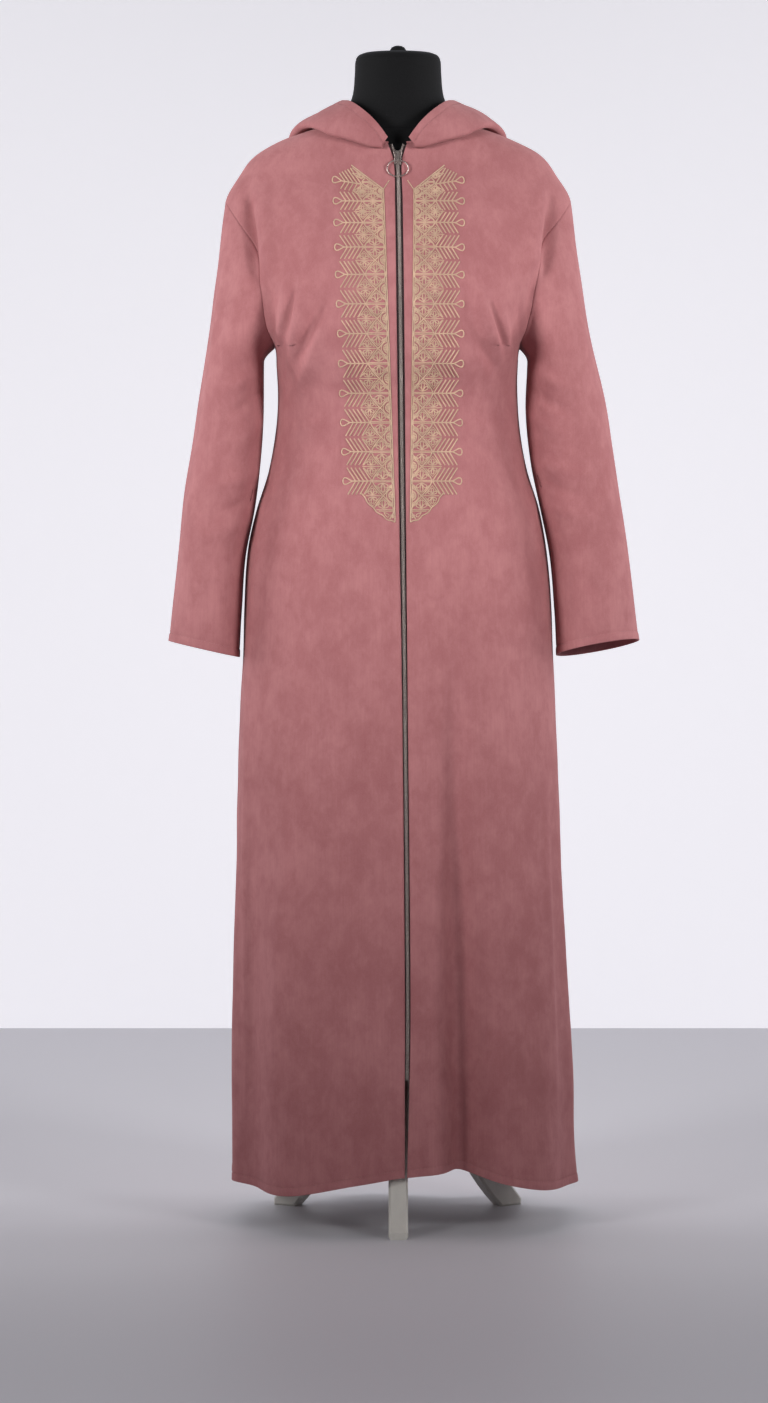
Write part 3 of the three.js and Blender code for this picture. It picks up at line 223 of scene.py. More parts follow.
class ZipSettings(bpy.types.PropertyGroup):
    """Sizes and colours of the zip."""

    pitch: FloatProperty(name="Tooth pitch", description="From one tooth to the next on one side",
                         default=0.0024, min=0.001, max=0.004, subtype="DISTANCE", unit="LENGTH")
    teeth: FloatVectorProperty(name="Teeth", description="Colour of the zip's teeth", subtype="COLOR", size=3,
                               default=(0.47, 0.40, 0.37), min=0, max=1)
    # The tape's own colour, made very dark so that it also paints the shade that fills the gaps beside the teeth.
    tape: FloatVectorProperty(name="Tape", description="Colour of the zip's tape", subtype="COLOR", size=3,
                              default=(0.05, 0.026, 0.028), min=0, max=1)


class FormSettings(bpy.types.PropertyGroup):
    """Colours of the dress form and its stand."""

    jersey: FloatVectorProperty(name="Jersey", description="Colour of the form's cover", subtype="COLOR",
                                size=3, default=(0.006, 0.006, 0.0065), min=0, max=1)
    paint: FloatVectorProperty(name="Paint", description="Colour of the stand's paint", subtype="COLOR",
                               size=3, default=(0.66, 0.63, 0.58), min=0, max=1)


class StageSettings(bpy.types.PropertyGroup):
    """The floor, the backdrop, the lamps and the camera."""

    floor: FloatVectorProperty(name="Floor", description="Colour of the floor", subtype="COLOR", size=3,
                               default=(0.62, 0.612, 0.65), min=0, max=1)
    backdrop: FloatVectorProperty(name="Backdrop", description="Colour of the wall behind", subtype="COLOR",
                                  size=3, default=(0.82, 0.81, 0.84), min=0, max=1)
    air: FloatVectorProperty(name="Surround", description="Colour of the studio round the object",
                             subtype="COLOR", size=3, default=(0.95, 0.945, 1.0), min=0, max=1)
    ambient: FloatProperty(name="Ambient", description="How strongly the surround lights the object",
                           default=0.14, min=0)
    glow: FloatProperty(name="Backdrop glow", description="Light that the wall behind gives off",
                        default=0.485, min=0)
    distance: FloatProperty(name="Distance", description="Camera's distance from the pole", default=5.8,
                            subtype="DISTANCE", unit="LENGTH")
    eye: FloatProperty(name="Eye height", description="Camera's height above the floor", default=1.003,
                       subtype="DISTANCE", unit="LENGTH")
    tilt: FloatProperty(name="Tilt", description="How far the camera looks down", default=2.935 * DEG,
                        subtype="ANGLE", unit="ROTATION")
    lens: FloatProperty(name="Lens", description="Focal length in millimetres", default=109.3)


GROUPS = {
    "jebba_robe": RobeSettings, "jebba_embroidery": EmbroiderySettings, "jebba_zip": ZipSettings,
    "jebba_form": FormSettings, "jebba_stage": StageSettings,
}


# ---------------------------------------------------------------- curves and surfaces, in millimetres
def column(table, key, against="height"):
    """A smooth curve through one column of a table, against another column."""
    at, to = np.array(table[against], float), np.array(table[key], float)
    last = len(at) - 1
    before, after = np.maximum(np.arange(last + 1) - 1, 0), np.minimum(np.arange(last + 1) + 1, last)
    slope = (to[after] - to[before]) / (at[after] - at[before])

    def value(where):
        v = np.clip(where, at[0], at[-1])
        k = np.clip(np.searchsorted(at, v, side="left") - 1, 0, last - 1)
        span = at[k + 1] - at[k]
        t = (v - at[k]) / span
        bend = t * (1 - t) * span
        rise = (3 - 2 * t) * t * t
        return to[k] + (to[k + 1] - to[k]) * rise + bend * ((1 - t) * slope[k] - t * slope[k + 1])

    return value


def curves(table, against="height"):
    return {key: column(table, key, against) for key in table if key != against}


body, zip_line, hood, form = curves(BODY), curves(ZIP_LINE), curves(HOOD, "at"), curves(FORM)
hem_height = column(HEM, "height", "angle")


def power(value, exponent):
    return np.sign(value) * np.abs(value) ** exponent


def ease(t):
    t = np.clip(t, 0, 1)
    return t * t * (3 - 2 * t)


def unit(v):
    return v / np.maximum(np.linalg.norm(v, axis=-1, keepdims=True), 1e-9)


def fold_depth(angle, height):
    """How far the skirt's folds push the cloth out."""
    foot = float(hem_height(0))
    out = np.zeros(np.broadcast(angle, height).shape)
    for where, spread, depth, top in FOLDS:
        away = (angle - where + 180) % 360 - 180
        out += depth * ease((top - height) / (top - foot)) * np.exp(-((away / spread) ** 2))
    return out


def body_point(angle, height):
    """A point of the robe's body: angle 0 is the centre front, 90 the wearer's left, 180 the back."""
    angle, height = np.broadcast_arrays(np.asarray(angle, float), np.asarray(height, float))
    s, c = np.sin(angle * DEG), np.cos(angle * DEG)
    a = body["half"](height)
    b = np.where(c > 0, body["front"](height), body["back"](height))
    p = 2 / body["round"](height)
    x, y = a * power(s, p), -b * power(c, p)
    out = unit(np.stack([x / (a * a), y / (b * b), 0 * x], -1))
    turned = (angle + 90) % 360 - 90
    place = np.stack([body["drift"](height) + x, y, height], -1)
    return place + out * fold_depth(turned, height)[..., None]


def body_normal(angle, height):
    along = body_point(angle + 0.4, height) - body_point(angle - 0.4, height)
    up = body_point(angle, height + 1) - body_point(angle, height - 1)
    return unit(np.cross(along, up))


def front_angle(x, height):
    """The angle of the front at which the body is x from the middle."""
    off = x - body["drift"](height)
    share = np.minimum(1, np.abs(off) / body["half"](height))
    return np.sign(off) * np.arcsin(share ** (body["round"](height) / 2)) / DEG


def face_point(face, x, height):
    angle = front_angle(x, height)
    return body_point(angle if face == "front" else 180 - angle, height)


# ---------------------------------------------------------------- creases
def crease_line(face, start, end):
    """A crease's run as 14 points of the robe."""
    t = np.linspace(0, 1, 14)
    first, second = start[0] + (end[0] - start[0]) * t, start[1] + (end[1] - start[1]) * t
    if face in ("front", "back"):
        return face_point(face, first, second)
    return sleeve_line(face, first, second)


def all_creases():
    found = [(crease_line("front", a, b), w, d) for a, b, w, d in FRONT_CREASES]
    found += [(crease_line("back", a, b), w, d) for a, b, w, d in BACK_CREASES]
    for name, rows in SLEEVE_CREASES.items():
        found += [(crease_line(name, a, b), w, d) for a, b, w, d in rows]
    return found


def creased(points, normals, among):
    """Moves the points of a surface out and in along the creases near them."""
    flat = points.reshape(-1, 3)
    out = np.zeros(len(flat))
    low, high = flat.min(0), flat.max(0)
    for line, width, depth in among:
        reach = 3 * width
        if np.any(line.min(0) > high + reach) or np.any(line.max(0) < low - reach):
            continue
        near = np.all((flat > line.min(0) - reach) & (flat < line.max(0) + reach), axis=1)
        if not near.any():
            continue
        p = flat[near]
        best, along = np.full(len(p), 1e9), np.zeros(len(p))
        for k in range(len(line) - 1):
            a, d = line[k], line[k + 1] - line[k]
            t = np.clip(((p - a) @ d) / (d @ d), 0, 1)
            gap = np.linalg.norm(p - a - t[:, None] * d, axis=1)
            nearer = gap < best
            best[nearer] = gap[nearer]
            along[nearer] = (k + t[nearer]) / (len(line) - 1)
        fade = np.sin(np.pi * np.clip(along, 0, 1)) ** 0.8
        out[near] += depth * fade * np.exp(-((best / width) ** 2))
    # A slow waviness keeps any stretch of the cloth from lying dead flat.
    x, y, z = flat.T
    out += 0.5 * np.sin(x / 23 + 1.7 * np.sin(z / 61) + y / 37) * np.sin(z / 47 + x / 71 + 1.3)
    out += 0.35 * np.sin(x / 11.5 + z / 53 + 2 * np.sin(z / 97)) * np.sin(z / 29 - y / 31 + 0.6)
    return points + normals * out.reshape(points.shape[:-1])[..., None]


# ---------------------------------------------------------------- panels of cloth
class Panel:
    """A grid of points with its normals; sense is -1 where columns and rows turn the other way."""

    def __init__(self, points, sense=1, closed=False):
        self.points, self.sense, self.closed = points, sense, closed
        self.extra = np.zeros(points.shape[:2])
        self.find_normals()

    def find_normals(self):
        p = self.points
        up = np.gradient(p, axis=0)
        if self.closed:
            along = (np.roll(p, -1, 1) - np.roll(p, 1, 1)) / 2
        else:
            along = np.gradient(p, axis=1)
        self.normals = unit(np.cross(along, up) * self.sense)

    def crease(self, among):
        self.points = creased(self.points, self.normals, among)
        self.find_normals()

    def smooth_normals(self, times=2):
        n = self.normals
        for _ in range(times):
            m = n.copy()
            m[1:-1] += n[:-2] + n[2:]
            n = unit(m)
        self.normals = n


def sew(one, at_one, two, at_two, gap):
    """Parts two panels along a seam, gives them one normal there and dips both into a groove."""
    mean = unit(one.normals[at_one] + two.normals[at_two])
    seam = one.points[at_one]
    along = np.gradient(seam, axis=0)
    across = unit(np.cross(mean, along))
    middle_one, middle_two = one.points.mean((0, 1)), two.points.mean((0, 1))
    towards = np.sum(across * (middle_two - middle_one), axis=-1, keepdims=True)
    across = across * np.where(towards < 0, -1, 1)
    one.normals[at_one] = mean
    two.normals[at_two] = mean
    dip = mean * 0.55
    one.points[at_one] = seam - across * gap / 2 - dip
    two.points[at_two] = seam + across * gap / 2 - dip


def shell(name, panel, thick):
    """The closed wall over a panel, with rounded edges, in the model's own frame and in metres."""
    p, n = panel.points, panel.normals
    rows, columns = p.shape[:2]
    half = (thick / 2 + panel.extra)[..., None]
    outer, inner = p + n * half, p - n * thick / 2
    place = [outer.reshape(-1, 3), inner.reshape(-1, 3)]
    ids = np.arange(rows * columns).reshape(rows, columns)
    under = ids + rows * columns
    if panel.closed:
        ids, under = (np.concatenate([g, g[:, :1]], axis=1) for g in (ids, under))
    faces = []

    def quads(a, b, c, d):
        found = np.stack([a.ravel(), b.ravel(), c.ravel(), d.ravel()], axis=1)
        faces.append(found if panel.sense > 0 else found[:, ::-1])

    quads(ids[:-1, :-1], ids[:-1, 1:], ids[1:, 1:], ids[1:, :-1])
    quads(under[:-1, :-1], under[1:, :-1], under[1:, 1:], under[:-1, 1:])
    # The edge, once round, goes over a bead that stands a little past the cloth.
    if panel.closed:
        loops = [(ids[0], under[0], p[0] - p[1]), (ids[-1][::-1], under[-1][::-1], (p[-1] - p[-2])[::-1])]
        loops = [(a, b, np.concatenate([w, w[:1]]) if k == 0 else np.concatenate([w[-1:], w]))
                 for k, (a, b, w) in enumerate(loops)]
    else:
        ring = [(0, c) for c in range(columns)] + [(r, columns - 1) for r in range(1, rows)]
        ring += [(rows - 1, c) for c in range(columns - 2, -1, -1)] + [(r, 0) for r in range(rows - 2, -1, -1)]
        r, c = np.array(ring).T
        inside = p[np.clip(r, 1, rows - 2), np.clip(c, 1, columns - 2)]
        loops = [(ids[r, c], under[r, c], p[r, c] - inside)]
    count = 2 * rows * columns
    for top, low, away in loops:
        flat_top, flat_low = np.concatenate(place)[top], np.concatenate(place)[low]
        bead = (flat_top + flat_low) / 2 + unit(away) * min(thick * 0.12, 0.14)
        size = len(top) - 1
        bead_ids = np.arange(count, count + size)
        place.append(bead[:-1])
        count += size
        bead_ids = np.append(bead_ids, bead_ids[0])
        quads(top[:-1], bead_ids[:-1], bead_ids[1:], top[1:])
        quads(bead_ids[:-1], low[:-1], low[1:], bead_ids[1:])
    return solid(name, np.concatenate(place), np.concatenate(faces))


def solid(name, place, faces, smooth=True):
    """A mesh object from points in millimetres from the pole and faces."""
    mesh = bpy.data.meshes.new(name)
    mesh.from_pydata(((place - POLE_AT) / 1000).tolist(), [], [list(map(int, f)) for f in faces])
    mesh.validate()
    mesh.update()
    if smooth:
        mesh.shade_smooth()
    made = bpy.data.objects.new(name, mesh)
    bpy.context.scene.collection.objects.link(made)
    return made


# ---------------------------------------------------------------- the robe's panels
ARMHOLE_ROWS = 44
YOKE_ROWS = 28


def stops(count, low=(), high=()):
    """Shares from 0 to 1, evenly spaced but for closer ones near either end."""
    even = np.linspace(0, 1, count)
    even = even[(even > 1.25 * max(low, default=0)) & (even < 1 - 1.25 * max(high, default=0))]
    return np.unique(np.concatenate([[0.0, 1.0], low, even, 1 - np.asarray(high, float)]))


def hem_stops(length):
    return [d / length for d in (1.2, 3, 6, 9, 10.4, 11.4, 13, 17)]


def zone_rows():
    skirt = [("skirt", t) for t in stops(215, low=hem_stops(1128), high=(0.0015,))]
    armhole = [("armhole", t) for t in np.linspace(0, 1, ARMHOLE_ROWS + 1)[1:]]
    yoke = [("yoke", t) for t in stops(YOKE_ROWS, high=(0.012, 0.03))[1:]]
    return skirt + armhole + yoke


ZONES = zone_rows()
UNDERARM_ROW = next(k for k, zone in enumerate(ZONES) if zone == ("skirt", 1.0))
TIP_ROW = UNDERARM_ROW + ARMHOLE_ROWS
FRONT_STOPS = stops(54, low=(0.006, 0.014, 0.026), high=(0.006, 0.014, 0.026))
BACK_STOPS = stops(50, high=(0.006, 0.014, 0.026))


def grid_place(face, side, zone, t, s):
    """The angles and heights of one row of a panel; s runs from the middle (0) to the side (1)."""
    is_front = face == "front"
    end, across = 90.0, s
    if zone == "yoke":
        centre = SHOULDER_TIP + ((NECK_FRONT if is_front else NECK_BACK) - SHOULDER_TIP) * t
        seam = SHOULDER_TIP + (NECK_SIDE - SHOULDER_TIP) * (1 - (1 - t) ** 1.7)
        height = centre + (seam - centre) * ease(s)
        across = s ** (1 + ((1.6 if is_front else 1.3) - 1) * t)
        centre = np.full(s.shape, centre)
    elif zone == "armhole":
        centre = np.full(s.shape, UNDERARM + (SHOULDER_TIP - UNDERARM) * (1 - math.cos(math.pi * t)) / 2)
        height = centre
        end = 90 - ARMHOLE_DIP[face] * math.sin(math.pi * t)
    else:
        foot = hem_height(side * 90 * s if is_front else 180 - side * 90 * s)
        height = foot + (UNDERARM - foot) * t
        centre = height
    start = 0.0
    if is_front:
        start = side * front_angle(zip_line["x"](centre) + side * zip_line["gap"](centre), centre)
    theta = start + (end - start) * across
    return (side * theta if is_front else 180 - side * theta), height


def front_panel(side):
    places = [grid_place("front", side, zone, t, FRONT_STOPS) for zone, t in ZONES]
    return Panel(body_point(np.array([a for a, _ in places]), np.array([h for _, h in places])), side)


def back_panel():
    rows = []
    for zone, t in ZONES:
        left, right = (grid_place("back", side, zone, t, BACK_STOPS) for side in (1, -1))
        rows.append([np.concatenate([one[::-1], two[1:]]) for one, two in zip(left, right)])
    return Panel(body_point(np.array([r[0] for r in rows]), np.array([r[1] for r in rows])))


# ---------------------------------------------------------------- sleeves
LOOP = 2 * ARMHOLE_ROWS
SLEEVE_CURVES = {name: curves(table) for name, table in SLEEVE.items()}


def sleeve_ring(name, degrees, height):
    """A point of a sleeve below the armhole; degrees run from its outer side over its front."""
    at = SLEEVE_CURVES[name]
    side = 1 if name == "left" else -1
    s, c = np.sin(degrees * DEG), np.cos(degrees * DEG)
    outer, inner = at["outer"](height), at["inner"](height)
    rise = at["lift"](height) * c + at["pitch"](height) * s
    x = side * ((outer + inner) / 2 + (outer - inner) / 2 * c)
    y = at["middle"](height) - at["deep"](height) * s
    return np.stack(np.broadcast_arrays(x, y, height + rise), -1)


def armhole_loop(side, k):
    """The armhole's points, from the shoulder tip (0) over the front to the underarm and up the back."""
    down = k <= ARMHOLE_ROWS
    t = np.where(down, 1 - k / ARMHOLE_ROWS, k / ARMHOLE_ROWS - 1)
    height = UNDERARM + (SHOULDER_TIP - UNDERARM) * (1 - np.cos(np.pi * t)) / 2
    end = 90 - np.where(down, ARMHOLE_DIP["front"], ARMHOLE_DIP["back"]) * np.sin(np.pi * t)
    return body_point(np.where(down, side * end, 180 - side * end), height)


def sleeve_surface(name, k, q):
    """A sleeve's point: k round it, and q from the armhole (0) past its first ring (1) to the cuff (2)."""
    table = SLEEVE[name]["height"]
    cuff, top = table[0], table[-1]
    degrees = 360 * k / LOOP
    start = armhole_loop(1 if name == "left" else -1, k)
    first = sleeve_ring(name, degrees, top)
    chord = first - start
    length = np.linalg.norm(chord, axis=-1, keepdims=True)
    leave = unit(sleeve_ring(name, degrees, top - 2.0) - first) * length
    t = np.clip(q, 0, 1)[..., None]
    upper = (start * (1 + 2 * t) * (1 - t) ** 2 + chord * t * (1 - t) ** 2
             + first * t * t * (3 - 2 * t) + leave * t * t * (t - 1))
    lower = sleeve_ring(name, degrees, top + (cuff - top) * np.clip(q - 1, 0, 1))
    return np.where((q <= 1)[..., None], upper, lower)


def sleeve_line(name, degrees, height):
    """Points of a sleeve by the degrees round it and the height."""
    table = SLEEVE[name]["height"]
    cuff, top = table[0], table[-1]
    k = (np.asarray(degrees, float) % 360) / 360 * LOOP
    start = armhole_loop(1 if name == "left" else -1, k)[..., 2]
    q = np.where(height > top, np.clip((start - height) / np.maximum(start - top, 1), 0, 1),
                 1 + (top - height) / (top - cuff))
    return sleeve_surface(name, k, q)


def sleeve_panel(name, front, back, among):
    side = 1 if name == "left" else -1
    edge = 0 if side > 0 else back.points.shape[1] - 1
    k = np.arange(LOOP)
    q = np.concatenate([np.linspace(0, 1, 47)[:-1], 1 + stops(90, high=hem_stops(386))])
    kk, qq = np.meshgrid(k.astype(float), q)
    points = sleeve_surface(name, kk, qq)
    made = Panel(points, side, closed=True)
    smooth = made.points.copy()
    made.crease(among)
    share = ease(np.arange(len(q)) / 5)[:, None, None]
    made.points = smooth + (made.points - smooth) * share
    rows = np.where(k <= ARMHOLE_ROWS, TIP_ROW - k, UNDERARM_ROW + k - ARMHOLE_ROWS)
    loop = np.where((k <= ARMHOLE_ROWS)[:, None], front.points[rows, -1], back.points[rows, edge])
    offset = loop - made.points[0]
    for j in range(4):
        made.points[j] += offset * (1 - j / 4)
    made.find_normals()
    return made


# ---------------------------------------------------------------- hood
HOOD_STOPS = 58


def hood_station(side, k):
    """Where station k of a hood half meets the neckline: (panel's column, way round, angle, height)."""
    last = len(FRONT_STOPS) - 1
    if k <= last:
        face, share, column_at = "front", FRONT_STOPS[k], k
        at = 90 * share
    else:
        m = k - last
        share = BACK_STOPS[len(BACK_STOPS) - 1 - m]
        face, at = "back", 180 - 90 * share
        column_at = m if side > 0 else 2 * (len(BACK_STOPS) - 1) - m
    angle, height = grid_place(face, side, "yoke", 1.0, np.array([share]))
    angle = float(angle[0])
    return column_at, at, angle - 360 if angle > 180 else angle, float(height[0])


def hood_section(side, at, angle, height):
    """One section of the hood: up from the neckline, over and down to its fold, and up to the rim."""
    neck = body_point(angle, height)
    rim = np.array([side * hood["rim_x"](at), hood["rim_y"](at), hood["rim_z"](at)])
    start = angle - 360 if side < 0 and angle > 90 else angle
    turn, low = side * hood["turn"](at), hood["height"](at)

    def beside(share, lift):
        a, h = start + (turn - start) * share, height + (low - height) * share
        return body_point(a, h) + body_normal(a, h) * lift

    length = np.linalg.norm(neck - beside(1.0, 0.0))
    puff = float(hood["puff"](at))
    over = 5.5 * puff
    knots = [(-0.5, 4 * puff), (1, 7.2 * puff), (over, 7.4 * puff),
             (over + (length - over) * 0.33, 5.6 * puff), (over + (length - over) * 0.67, 5 * puff),
             (length, 5 * puff), (length + 3.5 * puff, 6.5 * puff), (length + 4.5 * puff, 9.5 * puff),
             (length + 2.5 * puff, 12.5 * puff)]
    inner = [beside(along / length, lift) for along, lift in knots]
    bend = inner[-1]
    away = unit(np.array([bend[0], bend[1] - 10, 0]))
    belly = bend + (rim - bend) * 0.45 + away * hood["belly"](at)
    crest = belly + (rim - belly) * 0.62 + away * hood["belly"](at) * 0.3
    return through([neck, *inner, belly, crest, rim], HOOD_STOPS)


def through(knots, count, low=(), high=(0.006, 0.016, 0.03)):
    """Points at even distances on a centripetal spline through knots, closer at its ends."""
    p = np.array(knots)
    p = np.concatenate([[2 * p[0] - p[1]], p, [2 * p[-1] - p[-2]]])
    fine = []
    for k in range(1, len(p) - 2):
        a, b, c, d = p[k - 1:k + 3]
        ta, tb, tc = (max(np.linalg.norm(v) ** 0.5, 1e-4) for v in (b - a, c - b, d - c))
        m1 = ((b - a) / ta - (c - a) / (ta + tb) + (c - b) / tb) * tb
        m2 = ((c - b) / tb - (d - b) / (tb + tc) + (d - c) / tc) * tb
        t = np.linspace(0, 1, 24, endpoint=False)[:, None]
        fine.append((2 * t ** 3 - 3 * t ** 2 + 1) * b + (t ** 3 - 2 * t ** 2 + t) * m1
                    + (3 * t ** 2 - 2 * t ** 3) * c + (t ** 3 - t ** 2) * m2)
    fine = np.concatenate(fine + [p[-2:-1]])
    run = np.concatenate([[0], np.cumsum(np.linalg.norm(np.diff(fine, axis=0), axis=1))])
    want = stops(count, low=low, high=high) * run[-1]
    return np.stack([np.interp(want, run, fine[:, axis]) for axis in range(3)], -1)


def hood_panel(side, neckline):
    sections = []
    for k in range(len(FRONT_STOPS) + len(BACK_STOPS) - 1):
        _, at, angle, height = hood_station(side, k)
        sections.append(hood_section(side, at, angle, height))
    grid = np.stack(sections, axis=1)
    grid[0] = neckline
    made = Panel(grid, side)
    # The bag's cloth hangs in soft vertical waves and dents where it folds on itself.
    rows, columns = grid.shape[:2]
    n, k = np.mgrid[0:rows, 0:columns]
    outer = ease((n / rows - 0.45) / 0.2) * ease((0.99 - n / rows) / 0.08)
    back = ease((k / columns - 0.45) / 0.2)
    wave = 1.6 * np.sin(grid[..., 0] / 13 + 0.6 + np.sin(grid[..., 2] / 31)) + 1.1 * np.sin(grid[..., 0] / 29 + 2)
    wave += 1.2 * np.sin(grid[..., 2] / 17 + grid[..., 0] / 41) * np.sin(grid[..., 0] / 23 + 0.4)
    made.points = grid + made.normals * (wave * outer * back)[..., None]
    made.find_normals()
    made.smooth_normals(1)
    return made


# ---------------------------------------------------------------- the whole robe
def hem_extra(panel, row_ends, depth=0.55):
    """Doubles the cloth along the rows that a hem turns up, with a dent at its stitches."""
    reach = panel.points[:, :, :]
    start = reach[row_ends[0]]
    step = np.linalg.norm(reach - start, axis=-1)
    band = ease((11.8 - step) / 1.6)
    dent = np.exp(-(((step - 11.2) / 1.5) ** 2))
    panel.extra = panel.extra + depth * band - 0.75 * dent


def make_robe():
    among = all_creases()
    fronts = {name: front_panel(side) for name, side in (("left", 1), ("right", -1))}
    back = back_panel()
    for piece in (*fronts.values(), back):
        piece.crease(among)
    sleeves, hoods = {}, {}
    gap = bpy.context.scene.jebba_robe.seam * 1000
    last_front, span = len(FRONT_STOPS) - 1, 2 * (len(BACK_STOPS) - 1)
    rows = np.arange(len(ZONES))
    seams = rows[(rows <= UNDERARM_ROW) | (rows >= TIP_ROW)]
    for name, side in (("left", 1), ("right", -1)):
        front, edge = fronts[name], 0 if side > 0 else span
        middle = (front.points[seams, -1] + back.points[seams, edge]) / 2
        front.points[seams, -1] = middle
        back.points[seams, edge] = middle
        sleeves[name] = sleeve_panel(name, front, back, among)
        top = np.concatenate([front.points[-1], back.points[-1][1:len(BACK_STOPS)] if side > 0
                              else back.points[-1][::-1][1:len(BACK_STOPS)]])
        hoods[name] = hood_panel(side, top)
        for run in (rows[rows <= UNDERARM_ROW], rows[rows >= TIP_ROW]):
            sew(front, (run, np.full(len(run), last_front)), back, (run, np.full(len(run), edge)), gap)
        k = np.arange(1, ARMHOLE_ROWS)
        sew(front, (TIP_ROW - k, np.full(len(k), last_front)), sleeves[name], (0 * k, k), gap)
        sew(back, (UNDERARM_ROW + k, np.full(len(k), edge)), sleeves[name], (0 * k, ARMHOLE_ROWS + k), gap)
    crown = np.arange(hoods["left"].points.shape[0])
    end = np.full(len(crown), hoods["left"].points.shape[1] - 1)
    sew(hoods["left"], (crown, end), hoods["right"], (crown, end), gap)
    for name, side in (("left", 1), ("right", -1)):
        ahead = np.arange(last_front + 1)
        top = np.full(len(ahead), len(ZONES) - 1)
        sew(fronts[name], (top, ahead), hoods[name], (0 * ahead, ahead), gap)
        behind = np.arange(last_front, last_front + len(BACK_STOPS))
        at = behind - last_front if side > 0 else span - (behind - last_front)
        sew(back, (np.full(len(at), len(ZONES) - 1), at), hoods[name], (0 * behind, behind), gap)
    for piece in (*fronts.values(), back):
        hem_extra(piece, (0,))
    for piece in sleeves.values():
        hem_extra(piece, (-1,))
    for piece in hoods.values():
        hem_extra(piece, (-1,), 0.35)
    return fronts, back, sleeves, hoods


ROBE_PANELS = {}


def panels():
    """The robe's panels, worked out once."""
    if not ROBE_PANELS:
        fronts, back, sleeves, hoods = make_robe()
        ROBE_PANELS.update(fronts=fronts, back=back, sleeves=sleeves, hoods=hoods, creases=all_creases())
    return ROBE_PANELS


def on_front(x, height, lift=0.0):
    """Points of the creased front by x and height, lifted off the cloth's middle, and their normals."""
    x, height = np.broadcast_arrays(np.asarray(x, float), np.asarray(height, float))
    angle = front_angle(x, height)
    normal = body_normal(angle, height)
    point = creased(body_point(angle, height), normal, panels()["creases"])
    return point + normal * np.asarray(lift)[..., None], normal


# ---------------------------------------------------------------- materials
class Finish:
    """A material's nodes, built from the shader back."""

    def __init__(self, name, rough=0.8, metal=0.0, sheen=0.0, tint=(1, 1, 1)):
        self.material = bpy.data.materials.new(name)
        self.material.use_nodes = True
        self.tree = self.material.node_tree
        self.shader = self.tree.nodes["Principled BSDF"]
        self.shader.inputs["Roughness"].default_value = rough
        self.shader.inputs["Metallic"].default_value = metal
        self.shader.inputs["Sheen Weight"].default_value = sheen
        self.shader.inputs["Sheen Roughness"].default_value = 0.45
        self.shader.inputs["Sheen Tint"].default_value = (*tint, 1)
        self.where = self.tree.nodes.new("ShaderNodeTexCoord").outputs["Object"]
        self.height = None

    def node(self, kind, **sockets):
        made = self.tree.nodes.new(kind)
        for key, value in sockets.items():
            socket = made.inputs[key.replace("_", " ")]
            if isinstance(value, bpy.types.NodeSocket):
                self.tree.links.new(value, socket)
            else:
                socket.default_value = value
        return made

    def stretched(self, scale, turn=(0, 0, 0)):
        return self.node("ShaderNodeMapping", Vector=self.where, Scale=scale, Rotation=turn).outputs[0]

    def noise(self, scale, detail=3.0, rough=0.55, warp=0.0, where=None):
        return self.node("ShaderNodeTexNoise", Vector=where or self.where, Scale=scale, Detail=detail,
                         Roughness=rough, Distortion=warp).outputs["Fac"]

    def ramp(self, value, low, high, to_low=0.0, to_high=1.0):
        made = self.node("ShaderNodeMapRange", Value=value)
        for key, number in zip(("From Min", "From Max", "To Min", "To Max"), (low, high, to_low, to_high)):
            made.inputs[key].default_value = number
        return made.outputs[0]

    def mix(self, share, one, two, kind="MIX"):
        made = self.tree.nodes.new("ShaderNodeMix")
        made.data_type, made.blend_type = "RGBA", kind
        for key, value in zip((0, 6, 7), (share, one, two)):
            if isinstance(value, bpy.types.NodeSocket):
                self.tree.links.new(value, made.inputs[key])
            else:
                made.inputs[key].default_value = (*value, 1) if isinstance(value, tuple) else value
        return made.outputs[2]

    def sum(self, one, two, kind="ADD"):
        made = self.tree.nodes.new("ShaderNodeMath")
        made.operation = kind
        for socket, value in zip(made.inputs, (one, two)):
            if isinstance(value, bpy.types.NodeSocket):
                self.tree.links.new(value, socket)
            else:
                socket.default_value = value
        return made.outputs[0]

    def color(self, value):
        if isinstance(value, bpy.types.NodeSocket):
            self.tree.links.new(value, self.shader.inputs["Base Color"])
        else:
            self.shader.inputs["Base Color"].default_value = (*value, 1)

    def rough(self, value):
        self.tree.links.new(value, self.shader.inputs["Roughness"])

    def bump(self, value, depth, strength=1.0):
        made = self.node("ShaderNodeBump", Height=value, Distance=depth, Strength=strength)
        self.tree.links.new(made.outputs[0], self.shader.inputs["Normal"])


